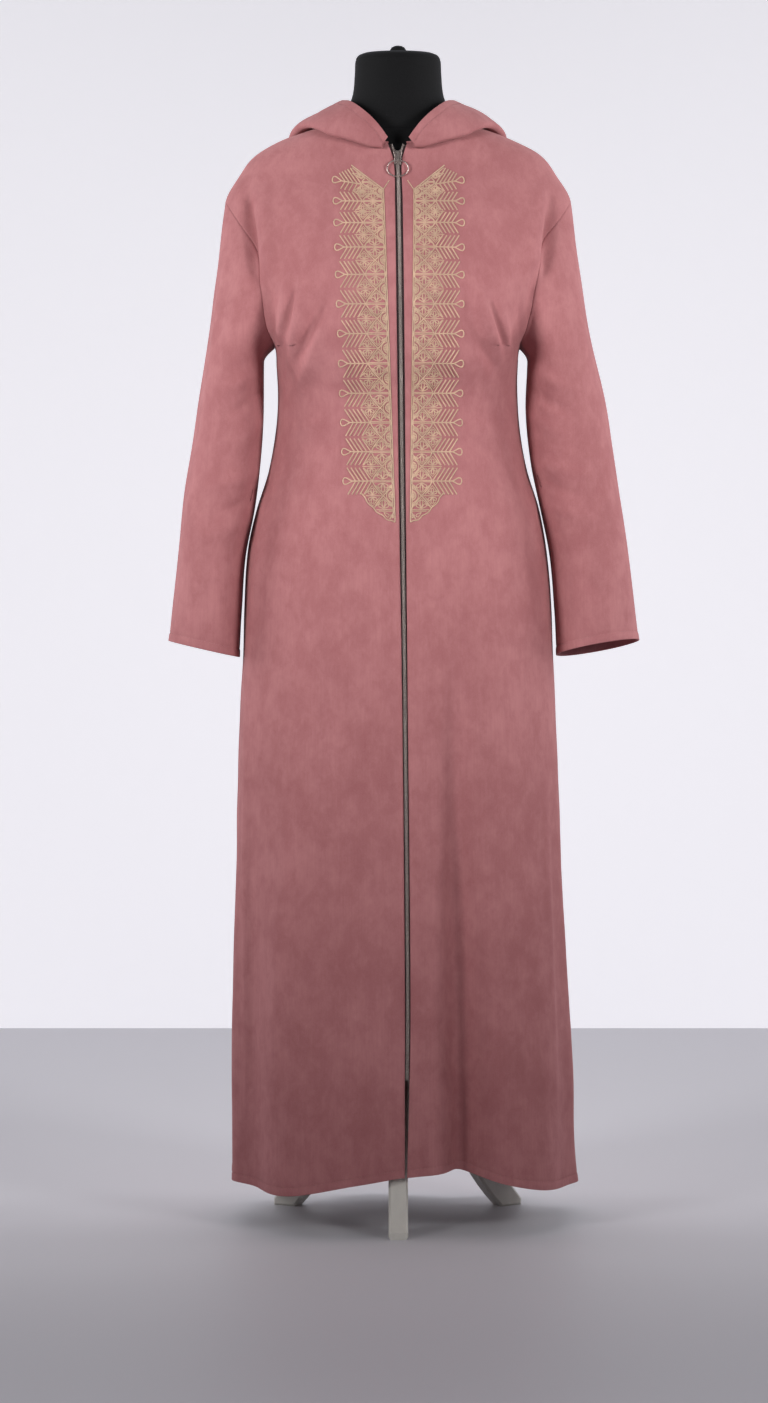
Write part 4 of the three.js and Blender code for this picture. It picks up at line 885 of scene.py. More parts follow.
def suede():
    """Brushed suede cloth: drifting patches of pressed and lifted nap over a faint upright rib."""
    if "Suede cloth" in bpy.data.materials:
        return bpy.data.materials["Suede cloth"]
    look = bpy.context.scene.jebba_robe
    made = Finish("Suede cloth", rough=0.86, sheen=0.2, tint=(1.0, 0.6, 0.6))
    made.shader.inputs["Specular IOR Level"].default_value = 0.15
    patches = made.noise(8.0, 6.0, 0.62, 0.5)
    brushed = made.noise(1.0, 6.0, 0.7, 0.2, made.stretched((46, 46, 30), (0.3, 0.5, 0.2)))
    streak = made.noise(1.0, 3.0, 0.6, 0.0, made.stretched((420, 420, 14)))
    fibre = made.noise(1.0, 2.0, 0.7, 0.0, made.stretched((1300, 1300, 700)))
    tone = made.mix(made.ramp(patches, 0.36, 0.62, 0.2, 1), tuple(look.shade), tuple(look.color))
    tone = made.mix(made.ramp(brushed, 0.48, 0.74, 0, 0.5), tone, tuple(look.nap))
    tone = made.mix(made.ramp(brushed, 0.5, 0.32, 0, 0.6), tone, tuple(look.shade))
    tone = made.mix(made.ramp(streak, 0.38, 0.7, 0, 0.3), tone, tuple(look.shade))
    tone = made.mix(made.ramp(fibre, 0.3, 0.7, 0, 0.3), tone, tuple(look.nap))
    made.color(tone)
    made.rough(made.ramp(brushed, 0.35, 0.7, 0.9, 0.74))
    relief = made.sum(made.sum(fibre, 0.5, "MULTIPLY"), made.sum(streak, 0.8, "MULTIPLY"))
    relief = made.sum(relief, made.sum(brushed, 1.6, "MULTIPLY"))
    made.bump(relief, 0.00035, 0.55)
    return made.material


def plain_finish(name, build):
    """A material by name, built the first time it is wanted."""
    if name not in bpy.data.materials:
        build(name)
    return bpy.data.materials[name]


def cord_silk(name):
    look = bpy.context.scene.jebba_embroidery
    made = Finish(name, rough=0.5, sheen=0.25, tint=(1.0, 0.9, 0.75))
    base = tuple(look.color)
    dark = tuple(c * 0.72 for c in base)
    light = tuple(min(1, c * 1.18) for c in base)
    twist = made.noise(1400.0, 2.0, 0.6)
    along = made.noise(60.0, 3.0, 0.6)
    tone = made.mix(made.ramp(twist, 0.35, 0.65), dark, base)
    made.color(made.mix(made.ramp(along, 0.45, 0.7, 0, 0.7), tone, light))
    made.bump(twist, 0.0002, 0.6)


def sewing_thread(name):
    look = bpy.context.scene.jebba_robe
    made = Finish(name, rough=0.6, sheen=0.2)
    dull = tuple(c * 0.8 for c in look.shade)
    made.color(made.mix(made.ramp(made.noise(900.0), 0.4, 0.6), dull, tuple(look.color)))


def seam_shade_cord(name):
    look = bpy.context.scene.jebba_robe
    made = Finish(name, rough=0.9)
    # Painted shade: a cord darker than the pressed nap, laid along the seams to stand for the shade in their
    # grooves.
    dark = tuple(c * 0.62 for c in look.shade)
    made.color(made.mix(made.ramp(made.noise(500.0), 0.4, 0.6), dark, tuple(look.shade)))


def tooth_metal(name):
    look = bpy.context.scene.jebba_zip
    made = Finish(name, rough=0.34, metal=0.75)
    base = tuple(look.teeth)
    made.color(made.mix(made.ramp(made.noise(300.0), 0.35, 0.65), tuple(c * 0.8 for c in base), base))
    made.rough(made.ramp(made.noise(220.0), 0.3, 0.7, 0.28, 0.46))


def pull_metal(name):
    look = bpy.context.scene.jebba_zip
    made = Finish(name, rough=0.25, metal=0.9)
    base = tuple(min(1, c * 1.1) for c in look.teeth)
    made.color(made.mix(made.ramp(made.noise(160.0), 0.4, 0.7), base, tuple(c * 0.75 for c in base)))
    made.rough(made.ramp(made.noise(260.0), 0.3, 0.7, 0.2, 0.4))
    made.bump(made.noise(700.0), 0.00008, 0.3)


def tape_weave_and_gap_shade(name):
    look = bpy.context.scene.jebba_zip
    made = Finish(name, rough=0.85, sheen=0.15)
    # Painted shade: the very dark base is the tape's colour and also the shade in the gaps beside the teeth.
    base = tuple(look.tape)
    rib = made.noise(1.0, 2.0, 0.5, 0.0, made.stretched((300, 300, 1300)))
    made.color(made.mix(made.ramp(rib, 0.35, 0.65), tuple(c * 0.7 for c in base), base))
    made.bump(rib, 0.0002, 0.5)


def black_jersey(name):
    look = bpy.context.scene.jebba_form
    made = Finish(name, rough=0.78, sheen=0.03, tint=(0.8, 0.85, 1.0))
    made.shader.inputs["Specular IOR Level"].default_value = 0.12
    base = tuple(look.jersey)
    knit = made.noise(1.0, 2.0, 0.6, 0.0, made.stretched((1600, 1600, 800)))
    lint = made.noise(240.0, 3.0, 0.65)
    tone = made.mix(made.ramp(knit, 0.3, 0.7), tuple(c * 0.7 for c in base), tuple(c * 1.5 for c in base))
    made.color(made.mix(made.ramp(lint, 0.66, 0.8, 0, 0.35), tone, tuple(c * 5 for c in base)))
    made.bump(knit, 0.0002, 0.5)


def white_paint(name):
    look = bpy.context.scene.jebba_form
    made = Finish(name, rough=0.42)
    base = tuple(look.paint)
    grain = made.noise(1.0, 4.0, 0.6, 0.4, made.stretched((90, 90, 8)))
    worn = made.noise(26.0, 5.0, 0.65)
    tone = made.mix(made.ramp(grain, 0.4, 0.75, 0, 0.35), base, tuple(c * 0.82 for c in base))
    made.color(made.mix(made.ramp(worn, 0.62, 0.78, 0, 0.6), tone, (0.36, 0.31, 0.25)))
    made.rough(made.ramp(worn, 0.3, 0.75, 0.36, 0.6))
    made.bump(made.sum(grain, worn), 0.0004, 0.25)


# ---------------------------------------------------------------- geometry nodes
class Tree:
    """A Geometry Nodes tree in the making."""

    def __init__(self, name):
        self.group = bpy.data.node_groups.new(name, "GeometryNodeTree")
        face = self.group.interface
        face.new_socket("Geometry", in_out="INPUT", socket_type="NodeSocketGeometry")
        face.new_socket("Geometry", in_out="OUTPUT", socket_type="NodeSocketGeometry")
        self.names = {}

    def ask(self, name, kind="NodeSocketFloat", default=None):
        socket = self.group.interface.new_socket(name, in_out="INPUT", socket_type=kind)
        if default is not None:
            socket.default_value = default
        self.names[name] = socket.identifier

    def begin(self):
        self.inputs = self.group.nodes.new("NodeGroupInput").outputs

    def node(self, kind, settings=None, **sockets):
        made = self.group.nodes.new(kind)
        for key, value in (settings or {}).items():
            setattr(made, key, value)
        for key, value in sockets.items():
            socket = made.inputs[key.replace("_", " ")]
            if isinstance(value, bpy.types.NodeSocket):
                self.group.links.new(value, socket)
            else:
                socket.default_value = value
        return made

    def finish(self, geometry):
        real = self.node("GeometryNodeRealizeInstances", Geometry=geometry)
        dressed = self.node("GeometryNodeSetMaterial", Geometry=real.outputs[0], Material=self.inputs["Material"])
        out = self.group.nodes.new("NodeGroupOutput")
        self.group.links.new(dressed.outputs[0], out.inputs[0])


def cord_tree():
    """Turns a mesh of edges into cords of one radius."""
    if "Cords" in bpy.data.node_groups:
        return bpy.data.node_groups["Cords"]
    tree = Tree("Cords")
    tree.ask("Radius", default=0.0005)
    tree.ask("Sides", "NodeSocketInt", 5)
    tree.ask("Material", "NodeSocketMaterial")
    tree.begin()
    path = tree.node("GeometryNodeMeshToCurve", Mesh=tree.inputs["Geometry"]).outputs[0]
    ring = tree.node("GeometryNodeCurvePrimitiveCircle", Radius=tree.inputs["Radius"],
                     Resolution=tree.inputs["Sides"]).outputs[0]
    made = tree.node("GeometryNodeCurveToMesh", Curve=path, Profile_Curve=ring, Fill_Caps=True)
    smooth = tree.node("GeometryNodeSetShadeSmooth", Geometry=made.outputs[0])
    tree.finish(smooth.outputs[0])
    return tree.group


def bead_tree():
    """Sets small beads at even steps along a mesh of edges, each lying along it and on its Lie vector."""
    if "Beads" in bpy.data.node_groups:
        return bpy.data.node_groups["Beads"]
    tree = Tree("Beads")
    tree.ask("Step", default=0.003)
    tree.ask("Size", "NodeSocketVector", (0.001, 0.0005, 0.0004))
    tree.ask("Material", "NodeSocketMaterial")
    tree.begin()
    path = tree.node("GeometryNodeMeshToCurve", Mesh=tree.inputs["Geometry"]).outputs[0]
    even = tree.node("GeometryNodeResampleCurve", Curve=path)
    set_mode(even, "LENGTH")
    tree.group.links.new(tree.inputs["Step"], even.inputs["Length"])
    lie = tree.node("GeometryNodeInputNamedAttribute", {"data_type": "FLOAT_VECTOR"}, Name="lie").outputs[0]
    tangent = tree.node("GeometryNodeInputTangent").outputs[0]
    up = tree.node("FunctionNodeAlignRotationToVector", {"axis": "Z"}, Vector=lie)
    turn = tree.node("FunctionNodeAlignRotationToVector", {"axis": "X", "pivot_axis": "Z"},
                     Rotation=up.outputs[0], Vector=tangent)
    bead = tree.node("GeometryNodeMeshUVSphere", Segments=6, Rings=4, Radius=1.0)
    rounded = tree.node("GeometryNodeSetShadeSmooth", Geometry=bead.outputs[0])
    placed = tree.node("GeometryNodeInstanceOnPoints", Points=even.outputs[0], Instance=rounded.outputs[0],
                       Rotation=turn.outputs[0], Scale=tree.inputs["Size"])
    tree.finish(placed.outputs[0])
    return tree.group


def set_mode(node, mode):
    """Sets a node's mode, whether it is a property or a menu socket."""
    if hasattr(node, "mode"):
        node.mode = mode
    else:
        node.inputs["Mode"].default_value = mode.title()


def grown(name, lines, tree, material, body=ROBE, lies=None, **sizes):
    """Runs a tree over polylines, given in millimetres from the pole, and keeps the mesh it makes."""
    points, edges = [], []
    for line in lines:
        start = len(points)
        points.extend(line.tolist())
        edges.extend((start + k, start + k + 1) for k in range(len(line) - 1))
    base = bpy.data.meshes.new(name)
    base.from_pydata(((np.array(points) - POLE_AT) / 1000).tolist(), edges, [])
    if lies is not None:
        found = base.attributes.new("lie", "FLOAT_VECTOR", "POINT")
        found.data.foreach_set("vector", np.concatenate(lies).astype(np.float32).ravel())
    made = bpy.data.objects.new(name, base)
    bpy.context.scene.collection.objects.link(made)
    growth = made.modifiers.new("Growth", "NODES")
    growth.node_group = tree
    for item in tree.interface.items_tree:
        if item.in_out == "INPUT" and item.name in sizes:
            growth[item.identifier] = sizes[item.name]
        if item.in_out == "INPUT" and item.name == "Material":
            growth[item.identifier] = material
    seen = bpy.context.evaluated_depsgraph_get()
    mesh = bpy.data.meshes.new_from_object(made.evaluated_get(seen))
    made.modifiers.clear()
    made.data = mesh
    if not mesh.materials:
        mesh.materials.append(material)
    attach(made, body)
    return made


# ---------------------------------------------------------------- embroidery
# Its points are (distance from the inner border, height).
# Its lowest and highest points, and the slope that it is cut along above.
BAND_FOOT, BAND_HEAD, BAND_RISE = 952, 1394, 0.82
# Where the trellis crosses, and where a leaf starts and ends.
CROSS_AT, LEAF_ROOT, LEAF_TIP = 14.3, 28.6, 56.0
LEAF_FOOT, LEAF_PITCH = 986, 39
TAIL = ((0, 951), (4, 953), (8, 953.5), (12, 955.5), (16, 960), (20.5, 962), (24.5, 965), (28, 970.5),
        (32, 973.5), (36, 978), (38.5, 984), (43, 989))


def leaf_height(n):
    """Where leaf n starts; the leaves close up towards the top."""
    return LEAF_FOOT + LEAF_PITCH * n - 1.8 * np.maximum(0, n - 7.4) ** 2


def inset(height):
    """How far the inner border stands from the zip: it drifts apart from it upwards."""
    return 10.2 + 10.2 * (height - BAND_FOOT) / (BAND_HEAD - BAND_FOOT)


def straight(a, b, step=3.0):
    a, b = np.array(a, float), np.array(b, float)
    count = max(2, int(np.linalg.norm(b - a) / step) + 1)
    return a + (b - a) * np.linspace(0, 1, count)[:, None]


def arc(centre, radius, start, end, count=7):
    turn = np.linspace(start, end, count) * DEG
    return np.array(centre, float) + radius * np.stack([np.cos(turn), np.sin(turn)], -1)


def petal(foot, heading, length, width, count=9):
    """A drop-shaped loop from its foot and back."""
    t = np.linspace(0, 1, count)
    out, over = length * np.sin(np.pi * t) ** 0.8, width / 2 * np.sin(2 * np.pi * t)
    c, s = math.cos(heading * DEG), math.sin(heading * DEG)
    return np.array(foot, float) + np.stack([out * c - over * s, out * s + over * c], -1)


def kept(lines):
    """The stretches of the lines that lie between the tail and the slanting top."""
    tail = np.array(TAIL)
    found = []
    for line in lines:
        fits = line[:, 1] < BAND_HEAD + BAND_RISE * line[:, 0] - 1.3
        fits &= line[:, 1] > np.interp(line[:, 0], tail[:, 0], tail[:, 1]) + 1.3
        cuts = np.flatnonzero(np.diff(np.concatenate([[False], fits, [False]]).astype(int)))
        found += [line[a:b] for a, b in zip(cuts[::2], cuts[1::2]) if b - a > 2]
    return found


def leaf_lines(n, leaves):
    """One leaf: a stem with barbs that lean outwards on both sides, and a loop at its tip."""
    z = float(leaf_height(n + 0.5))
    half = float(leaf_height(n + 1) - leaf_height(n)) / 2
    rise = 0.17 if n == leaves - 1 else 0.0  # the top leaf turns up towards the shoulder
    at = lambda v, over=0.0: (v, z - 3 * (rise > 0) + rise * (v - LEAF_ROOT) + over)
    bold = [straight(at(LEAF_ROOT - 1), at(LEAF_TIP)),
            petal(at(LEAF_TIP - 1.2), math.degrees(rise), 12.5, 9, 12)]
    for k in range(5):
        for way in (1, -1):
            reach = half - 2.4
            if rise:
                reach = 21.5 - 2.7 * k if way > 0 else half - 2.4
            foot = at(LEAF_ROOT + 0.5 + 5.4 * k, 0.7 * way)
            bold.append(straight(foot, (foot[0] + reach * 0.62, foot[1] + reach * way)))
    return bold


def cell(lines, z, half):
    """Lines drawn about a cell's middle, stretched to the cell's own height."""
    return [np.stack([line[:, 0], z + line[:, 1] * half / 19.5], -1) for line in lines]


def eye_lines():
    """The filling of an eye of the trellis: a bud above and below a bar, between curls."""
    lines = [straight((1.5, 0.9), (LEAF_ROOT - 1, 0.9)), straight((1.5, -0.9), (LEAF_ROOT - 1, -0.9))]
    for way in (1, -1):
        foot = (CROSS_AT, 2.4 * way)
        for turn, length in ((90, 11.5), (42, 8.5), (138, 8.5)):
            lines.append(petal(foot, way * turn, length, 4.2))
        lines.append(np.array([(5.0, 6.0 * way), (9.6, 11.5 * way), (CROSS_AT, 16.2 * way), (19, 11.5 * way),
                               (23.6, 6.0 * way)]))
    return lines


def gusset_lines():
    """The filling between two leaves: a bar, and a tent with a trefoil above and below it."""
    lines = [straight((CROSS_AT + 2, 0), (LEAF_ROOT + 12, 0))]
    for way in (1, -1):
        lines.append(np.array([(CROSS_AT + 5, 2.0 * way), (LEAF_ROOT - 4.5, 8 * way), (LEAF_ROOT, 13.6 * way),
                               (LEAF_ROOT + 4.5, 8 * way), (LEAF_ROOT + 10, 2.0 * way)]))
        for turn, length in ((90, 8.4), (36, 6.6), (144, 6.6)):
            lines.append(petal((LEAF_ROOT, 1.6 * way), way * turn, length, 3.6))
    return lines


def shell_lines():
    """The filling against the border: a small scallop shell of arcs and drops."""
    lines = [arc((0.8, 0), radius, -84 + radius, 84 - radius, 8) for radius in (3.4, 6.4, 9.4)]
    lines += [petal((1.2, 0), turn, 5.4, 2.6, 8) for turn in (-56, 0, 56)]
    for way in (1, -1):
        lines.append(petal((2.6, 9.6 * way), 62 * way, 4.6, 2.8, 8))
    return lines


def embroidery_lines(leaves):
    """The bold and the fine cords of one side."""
    bold, fine = [], []
    low, high = BAND_FOOT, BAND_HEAD + 20
    z = np.linspace(low, high, 300)
    steps = np.arange(-2.0, leaves + 2, 0.05)
    n = np.interp(z, leaf_height(steps), steps)
    swing = 0.55 * np.sin(np.pi * n) + 0.45 * np.arcsin(np.sin(np.pi * n)) * 2 / np.pi
    for way in (1, -1):
        bold += kept([np.stack([CROSS_AT + way * (CROSS_AT - 0.6) * swing, z], -1)])
    for n in range(-1, leaves + 1):
        z, half = float(leaf_height(n + 0.5)), float(leaf_height(n + 1) - leaf_height(n)) / 2
        seam = float(leaf_height(n))
        fine += kept(cell(eye_lines(), z, half))
        fine += kept(cell(shell_lines(), seam, half))
        if 0 <= n:
            gusset = cell(gusset_lines(), seam, half)
            fine += kept(gusset)
    for n in range(leaves):
        bold += leaf_lines(n, leaves)
    z = np.linspace(BAND_FOOT, BAND_HEAD, 100)
    bold.append(np.stack([0 * z, z], -1))
    fine += kept([np.stack([0 * z + 2.1, z], -1)])
    tail = through(np.pad(np.array(TAIL, float), ((0, 0), (0, 1))), 34, high=())[:, :2]
    bold.append(tail)
    bold.append(straight((0, BAND_HEAD), (41, BAND_HEAD + 41 * BAND_RISE)))
    fine.append(straight((1, BAND_HEAD - 2.0), (40, BAND_HEAD - 2.0 + 39 * BAND_RISE)))
    # A single cord leads on from each border to the zip's pull.
    fine.append(straight((0, BAND_HEAD), (-8.4, BAND_HEAD + 12.5), 2.0))
    return bold, fine


def dressed(made, material, slot, *nodes, body=ROBE):
    """Gives a piece its finish, its body and the solids that it stands for."""
    if not made.data.materials:
        made.data.materials.append(material)
    made.data.materials[0] = material
    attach(made, body)
    if nodes:
        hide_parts(*nodes)
    return made


class JEBBA_OT_cloth(bpy.types.Operator):
    """Makes the fronts, the back, the sleeves and the hood as thin shells of suede"""

    bl_idname = "jebba.cloth"
    bl_label = "Cloth"

    def execute(self, context):
        robe = panels()
        thick = context.scene.jebba_robe.cloth * 1000
        pieces = [("back", robe["back"], "back", ["form_torso"])]
        for name in ("left", "right"):
            pieces.append((f"front_{name}", robe["fronts"][name], "front", ["form_torso"]))
            pieces.append((f"sleeve_{name}", robe["sleeves"][name], "sleeve", ["back"]))
            pieces.append((f"hood_{name}", robe["hoods"][name], "hood", ["back"]))
        for name, panel, cut, under in pieces:
            made = shell(f"cloth_{name}", panel, thick)
            dressed(made, suede(), "suede", name)
        return {"FINISHED"}


class JEBBA_OT_stitches(bpy.types.Operator):
    """Sews the hems of the skirt, the cuffs and the hood's rim, and lays dark cords of painted shade along the
    seams of sleeves and armholes
    """

    bl_idname = "jebba.stitches"
    bl_label = "Stitches"

    def execute(self, context):
        robe, look = panels(), context.scene.jebba_robe
        thread = plain_finish("Sewing thread", sewing_thread)
        dark = plain_finish("Seam shade cord", seam_shade_cord)
        hem = look.hem * 1000
        runs = {"hem": [], "cuffs": [], "rim": []}
        for key, pieces, end in (("hem", (*robe["fronts"].values(), robe["back"]), 0),
                                 ("cuffs", robe["sleeves"].values(), -1), ("rim", robe["hoods"].values(), -1)):
            for panel in pieces:
                runs[key].append(stitch_line(panel, end, hem, look.cloth * 500))
        for key, found in runs.items():
            grown(f"stitches_{key}", [line for line, _ in found], bead_tree(), thread, Step=look.stitch,
                  Size=(0.00115, 0.00034, 0.0003), lies=[lie for _, lie in found])
        seams = []
        # The dark cords below paint the shade that falls in the grooves of the sleeves' underarm seams and of the
        # armhole seams.
        for name in ("left", "right"):
            height = np.concatenate([np.linspace(1184, 1120, 20), np.linspace(1112, 800, 70)])
            degrees = 176 - 58 * ease((1180 - height) / 420)
            line = sleeve_line(name, degrees, height)
            ahead = sleeve_line(name, degrees + 2, height) - line
            normal = unit(np.cross(np.gradient(line, axis=0), ahead)) * (1 if name == "left" else -1)
            seams.append(creased(line, normal, robe["creases"]) + normal * (look.cloth * 500 - 0.12))
        rows = np.arange(UNDERARM_ROW - 1, TIP_ROW + 1)
        span = 2 * (len(BACK_STOPS) - 1)
        for name, edge in (("left", 0), ("right", span)):
            for panel, column_at in ((robe["fronts"][name], -1), (robe["back"], edge)):
                seams.append(panel.points[rows, column_at] + panel.normals[rows, column_at] * look.cloth * 420)
        grown("seams", seams, cord_tree(), dark, Radius=0.0005, Sides=5)
        return {"FINISHED"}


def stitch_line(panel, end, hem, lift):
    """A panel's line at a distance from the edge of row end, just proud of the cloth, and its normals."""
    p = panel.points if end == 0 else panel.points[::-1]
    n = panel.normals if end == 0 else panel.normals[::-1]
    line, lie = [], []
    steps = np.concatenate([np.zeros((1, p.shape[1])),
                            np.cumsum(np.linalg.norm(np.diff(p[:40], axis=0), axis=-1), axis=0)])
    for c in range(p.shape[1]):
        line.append([np.interp(hem, steps[:, c], p[:40, c, axis]) for axis in range(3)])
        lie.append([np.interp(hem, steps[:, c], n[:40, c, axis]) for axis in range(3)])
    line, lie = np.array(line), unit(np.array(lie))
    if panel.closed:
        line, lie = np.concatenate([line, line[:1]]), np.concatenate([lie, lie[:1]])
    return line + lie * (lift - 0.15), lie


class JEBBA_OT_embroidery(bpy.types.Operator):
    """Couches the leaves, the trellis and the borders in cord beside the zip"""

    bl_idname = "jebba.embroidery"
    bl_label = "Embroidery"

    def execute(self, context):
        look = context.scene.jebba_embroidery
        silk = plain_finish("Silk cord", cord_silk)
        for kind, drawn, radius in zip(("bold", "fine"), embroidery_lines(look.leaves), (look.cord, look.fine)):
            lift = context.scene.jebba_robe.cloth * 500 + radius * 1000 * 0.6
            sizes = np.cumsum([0] + [len(line) for line in drawn])
            flat = np.concatenate(drawn)
            for name, side in (("left", 1), ("right", -1)):
                x = zip_line["x"](flat[:, 1]) + side * (flat[:, 0] + inset(flat[:, 1]))
                points, _ = on_front(x, flat[:, 1], lift)
                lines = [points[a:b] for a, b in zip(sizes, sizes[1:])]
                made = grown(f"embroidery_{kind}_{name}", lines, cord_tree(), silk, Radius=radius, Sides=5)
                dressed(made, silk, "thread", f"embroidery_{name}")
        return {"FINISHED"}


class JEBBA_OT_zip(bpy.types.Operator):
    """Makes the zip's tapes and its two rows of teeth"""

    bl_idname = "jebba.zip"
    bl_label = "Zip"

    def execute(self, context):
        look = context.scene.jebba_zip
        cloth = context.scene.jebba_robe.cloth * 500
        metal = plain_finish("Tooth metal", tooth_metal)
        weave = plain_finish("Tape weave and gap shade", tape_weave_and_gap_shade)
        height = np.concatenate([np.linspace(ZIP_FOOT, 1380, 260), np.linspace(1384, NECK_FRONT - 2, 30)])
        middle, open_by = zip_line["x"](height), np.maximum(0, zip_line["gap"](height) - 5.6)
        for name, side in (("left", 1), ("right", -1)):
            across = np.array([0.15, 0.6, 3, 6, 9, 12.0])
            x = middle[:, None] + side * (across[None, :] + open_by[:, None])
            strip, _ = on_front(x, np.repeat(height[:, None], len(across), 1), -(cloth + 0.3 + 0.4))
            # The tapes lie under the fronts' edges; their very dark colour paints the shade of the gaps beside
            # the teeth.
            made = shell(f"tape_{name}", Panel(strip, side), 0.8)
            dressed(made, weave, "zip_tape", f"zip_tape_{name}")
        rows, lies = [], []
        for side in (1, -1):
            line, normal = on_front(middle + side * (0.95 + open_by), height, 0.25)
            rows.append(line)
            lies.append(normal)
        made = grown("zip_teeth", rows, bead_tree(), metal, Step=look.pitch / 2,
                     Size=(0.00052, 0.00175, 0.0011), lies=lies)
        dressed(made, metal, "zip_metal", "zip_coil")
        return {"FINISHED"}


class JEBBA_OT_pull(bpy.types.Operator):
    """Finishes the slider and makes the ring that hangs from it"""

    bl_idname = "jebba.pull"
    bl_label = "Slider and ring"

    def execute(self, context):
        metal = plain_finish("Pull metal", pull_metal)
        finish_node("zip_slider", metal)
        hinge = np.array(frame["record"]["behaviour"]["joints"][0]["pos_m"])
        ring = frame["nodes"]["zip_pull_ring"].data
        place = np.array([v.co for v in ring.vertices])
        low = place[place[:, 2] < place[:, 2].min() + 0.001].mean(0)
        hang = unit(low - hinge)
        turn = np.linspace(0, 2 * math.pi, 73)
        line = (hinge + hang * 0.0114 * (1 - np.cos(turn))[:, None]
                + np.array([0.0142, 0, 0]) * np.sin(turn)[:, None]) * 1000 + POLE_AT
        made = tube("pull_ring", line, 0.85, 12)
        dressed(made, metal, "zip_metal", "zip_pull_ring", body="pull_ring")
        return {"FINISHED"}


def tube(name, line, radius, sides):
    """A closed ring's tube, smooth all round."""
    p = line[:-1]
    along = unit(np.roll(p, -1, 0) - np.roll(p, 1, 0))
    middle = p.mean(0)
    out = unit(p - middle)
    up = unit(np.cross(along, out))
    turn = np.arange(sides) / sides * 2 * math.pi
    place = (p[:, None] + radius * (np.cos(turn)[None, :, None] * out[:, None]
                                    + np.sin(turn)[None, :, None] * up[:, None]))
    ids = np.arange(len(p) * sides).reshape(len(p), sides)
    nxt, up_next = np.roll(ids, -1, 0), np.roll(ids, -1, 1)
    faces = np.stack([ids, up_next, np.roll(nxt, -1, 1), nxt], -1).reshape(-1, 4)
    return solid(name, place.reshape(-1, 3), outward(place.reshape(-1, 3), faces))


def outward(place, faces):
    """The faces of a closed mesh, turned over if they enclose a negative volume."""
    a, b, c, d = (place[faces[:, k]] for k in (0, 1, 2, 3))
    volume = np.sum(a * np.cross(b, c)) + np.sum(a * np.cross(c, d))
    return faces if volume > 0 else faces[:, ::-1]


def finish_node(name, material):
    """Gives a packed solid a better material."""
    made = frame["nodes"][name]
    if not made.data.materials:
        made.data.materials.append(material)
    for k in range(len(made.data.materials)):
        made.data.materials[k] = material
    for slot in made.material_slots:
        slot.material = material


class JEBBA_OT_form(bpy.types.Operator):
    """Makes the dress form's torso and neck in black jersey, and finishes its knob"""

    bl_idname = "jebba.form"
    bl_label = "Dress form"

    def execute(self, context):
        jersey = plain_finish("Black jersey", black_jersey)
        sides = 96
        turn = np.arange(sides) / sides * 2 * math.pi
        s, c = np.sin(turn), np.cos(turn)
        rounded = [(FORM["height"][0] + 9 * (1 - math.cos(a)), 9 * (1 - math.sin(a)))
                   for a in np.linspace(0.2, 1.5, 5)]
        heights = [(h, back) for h, back in rounded]
        heights += [(h, 0.0) for h in np.linspace(806, 1478, 130)]
        heights += [(1479.6, 0.05), (1480.2, 0.9), (1480.9, 0.9), (1481.5, 0.05)]
        heights += [(h, 0.0) for h in np.linspace(1484, 1570, 24)]
        heights += [(1573.0, 0.0), (1574.0, 0.05), (1574.4, 0.4), (1574.8, 0.4), (1575.2, 0.05), (1576.4, 0.0)]
        heights += [(h, 0.0) for h in (1578, 1580, 1581.5, 1583, 1584)]
        rings = []
        for height, back in heights:
            p = 2 / form["round"](height)
            half = form["half"](height) - back
            deep = np.where(c > 0, form["front"](height), form["back"](height)) - back
            rings.append(np.stack([half * power(s, p), form["middle"](height) - deep * power(c, p),
                                   np.full(sides, float(height))], -1))
        for share, rise in ((0.86, 0.12), (0.66, 0.2), (0.4, 0.24), (0.15, 0.26)):
            middle = rings[-1 if share == 0.86 else len(heights) - 1].mean(0)
            top = rings[len(heights) - 1]
            rings.append(middle + (top - middle) * share + np.array([0, 0, rise]))
        place = np.concatenate(rings)
        ids = np.arange(len(place)).reshape(len(rings), sides)
        nxt = np.roll(ids, -1, 1)
        faces = np.stack([ids[:-1], nxt[:-1], nxt[1:], ids[1:]], -1).reshape(-1, 4).tolist()
        faces += [ids[0][::-1].tolist(), ids[-1].tolist()]
        dressed(solid("form_body", place, faces), jersey, "jersey", "form_torso")
        finish_node("form_knob", jersey)
        return {"FINISHED"}


class JEBBA_OT_stand(bpy.types.Operator):
    """Paints the pole, the hub and the three legs"""

    bl_idname = "jebba.stand"
    bl_label = "Stand"

    def execute(self, context):
        paint = plain_finish("White paint", white_paint)
        for name in ("pole", "hub", "leg_front", "leg_left", "leg_right"):
            finish_node(name, paint)
        return {"FINISHED"}


LAMPS = (  # name, place, target, width and height, spread in degrees, power
    ("left_box", (-1.9, -2.0, 1.7), (0, 0, 1.12), (0.7, 0.9), 48, 5.2),
    ("right_box", (1.9, -2.0, 1.7), (0, 0, 1.12), (0.7, 0.9), 48, 4.8),
    ("low_box", (0, -3.6, 1.2), (0, 0, 0.8), (1.8, 1.2), 90, 0.9),
    ("left_rim", (-2.4, 0.4, 1.6), (0, 0, 1.15), (0.8, 1.2), 60, 3.5),
    ("right_rim", (2.4, 0.4, 1.6), (0, 0, 1.15), (0.8, 1.2), 60, 3.8),
    ("floor_wash", (0, 1.0, 3.2), (0, 1.2, 0), (3, 0.8), 100, 9),
    ("front_wash", (0, -2.6, 3.0), (0, -2.6, 0), (2.4, 0.8), 60, 6),
)


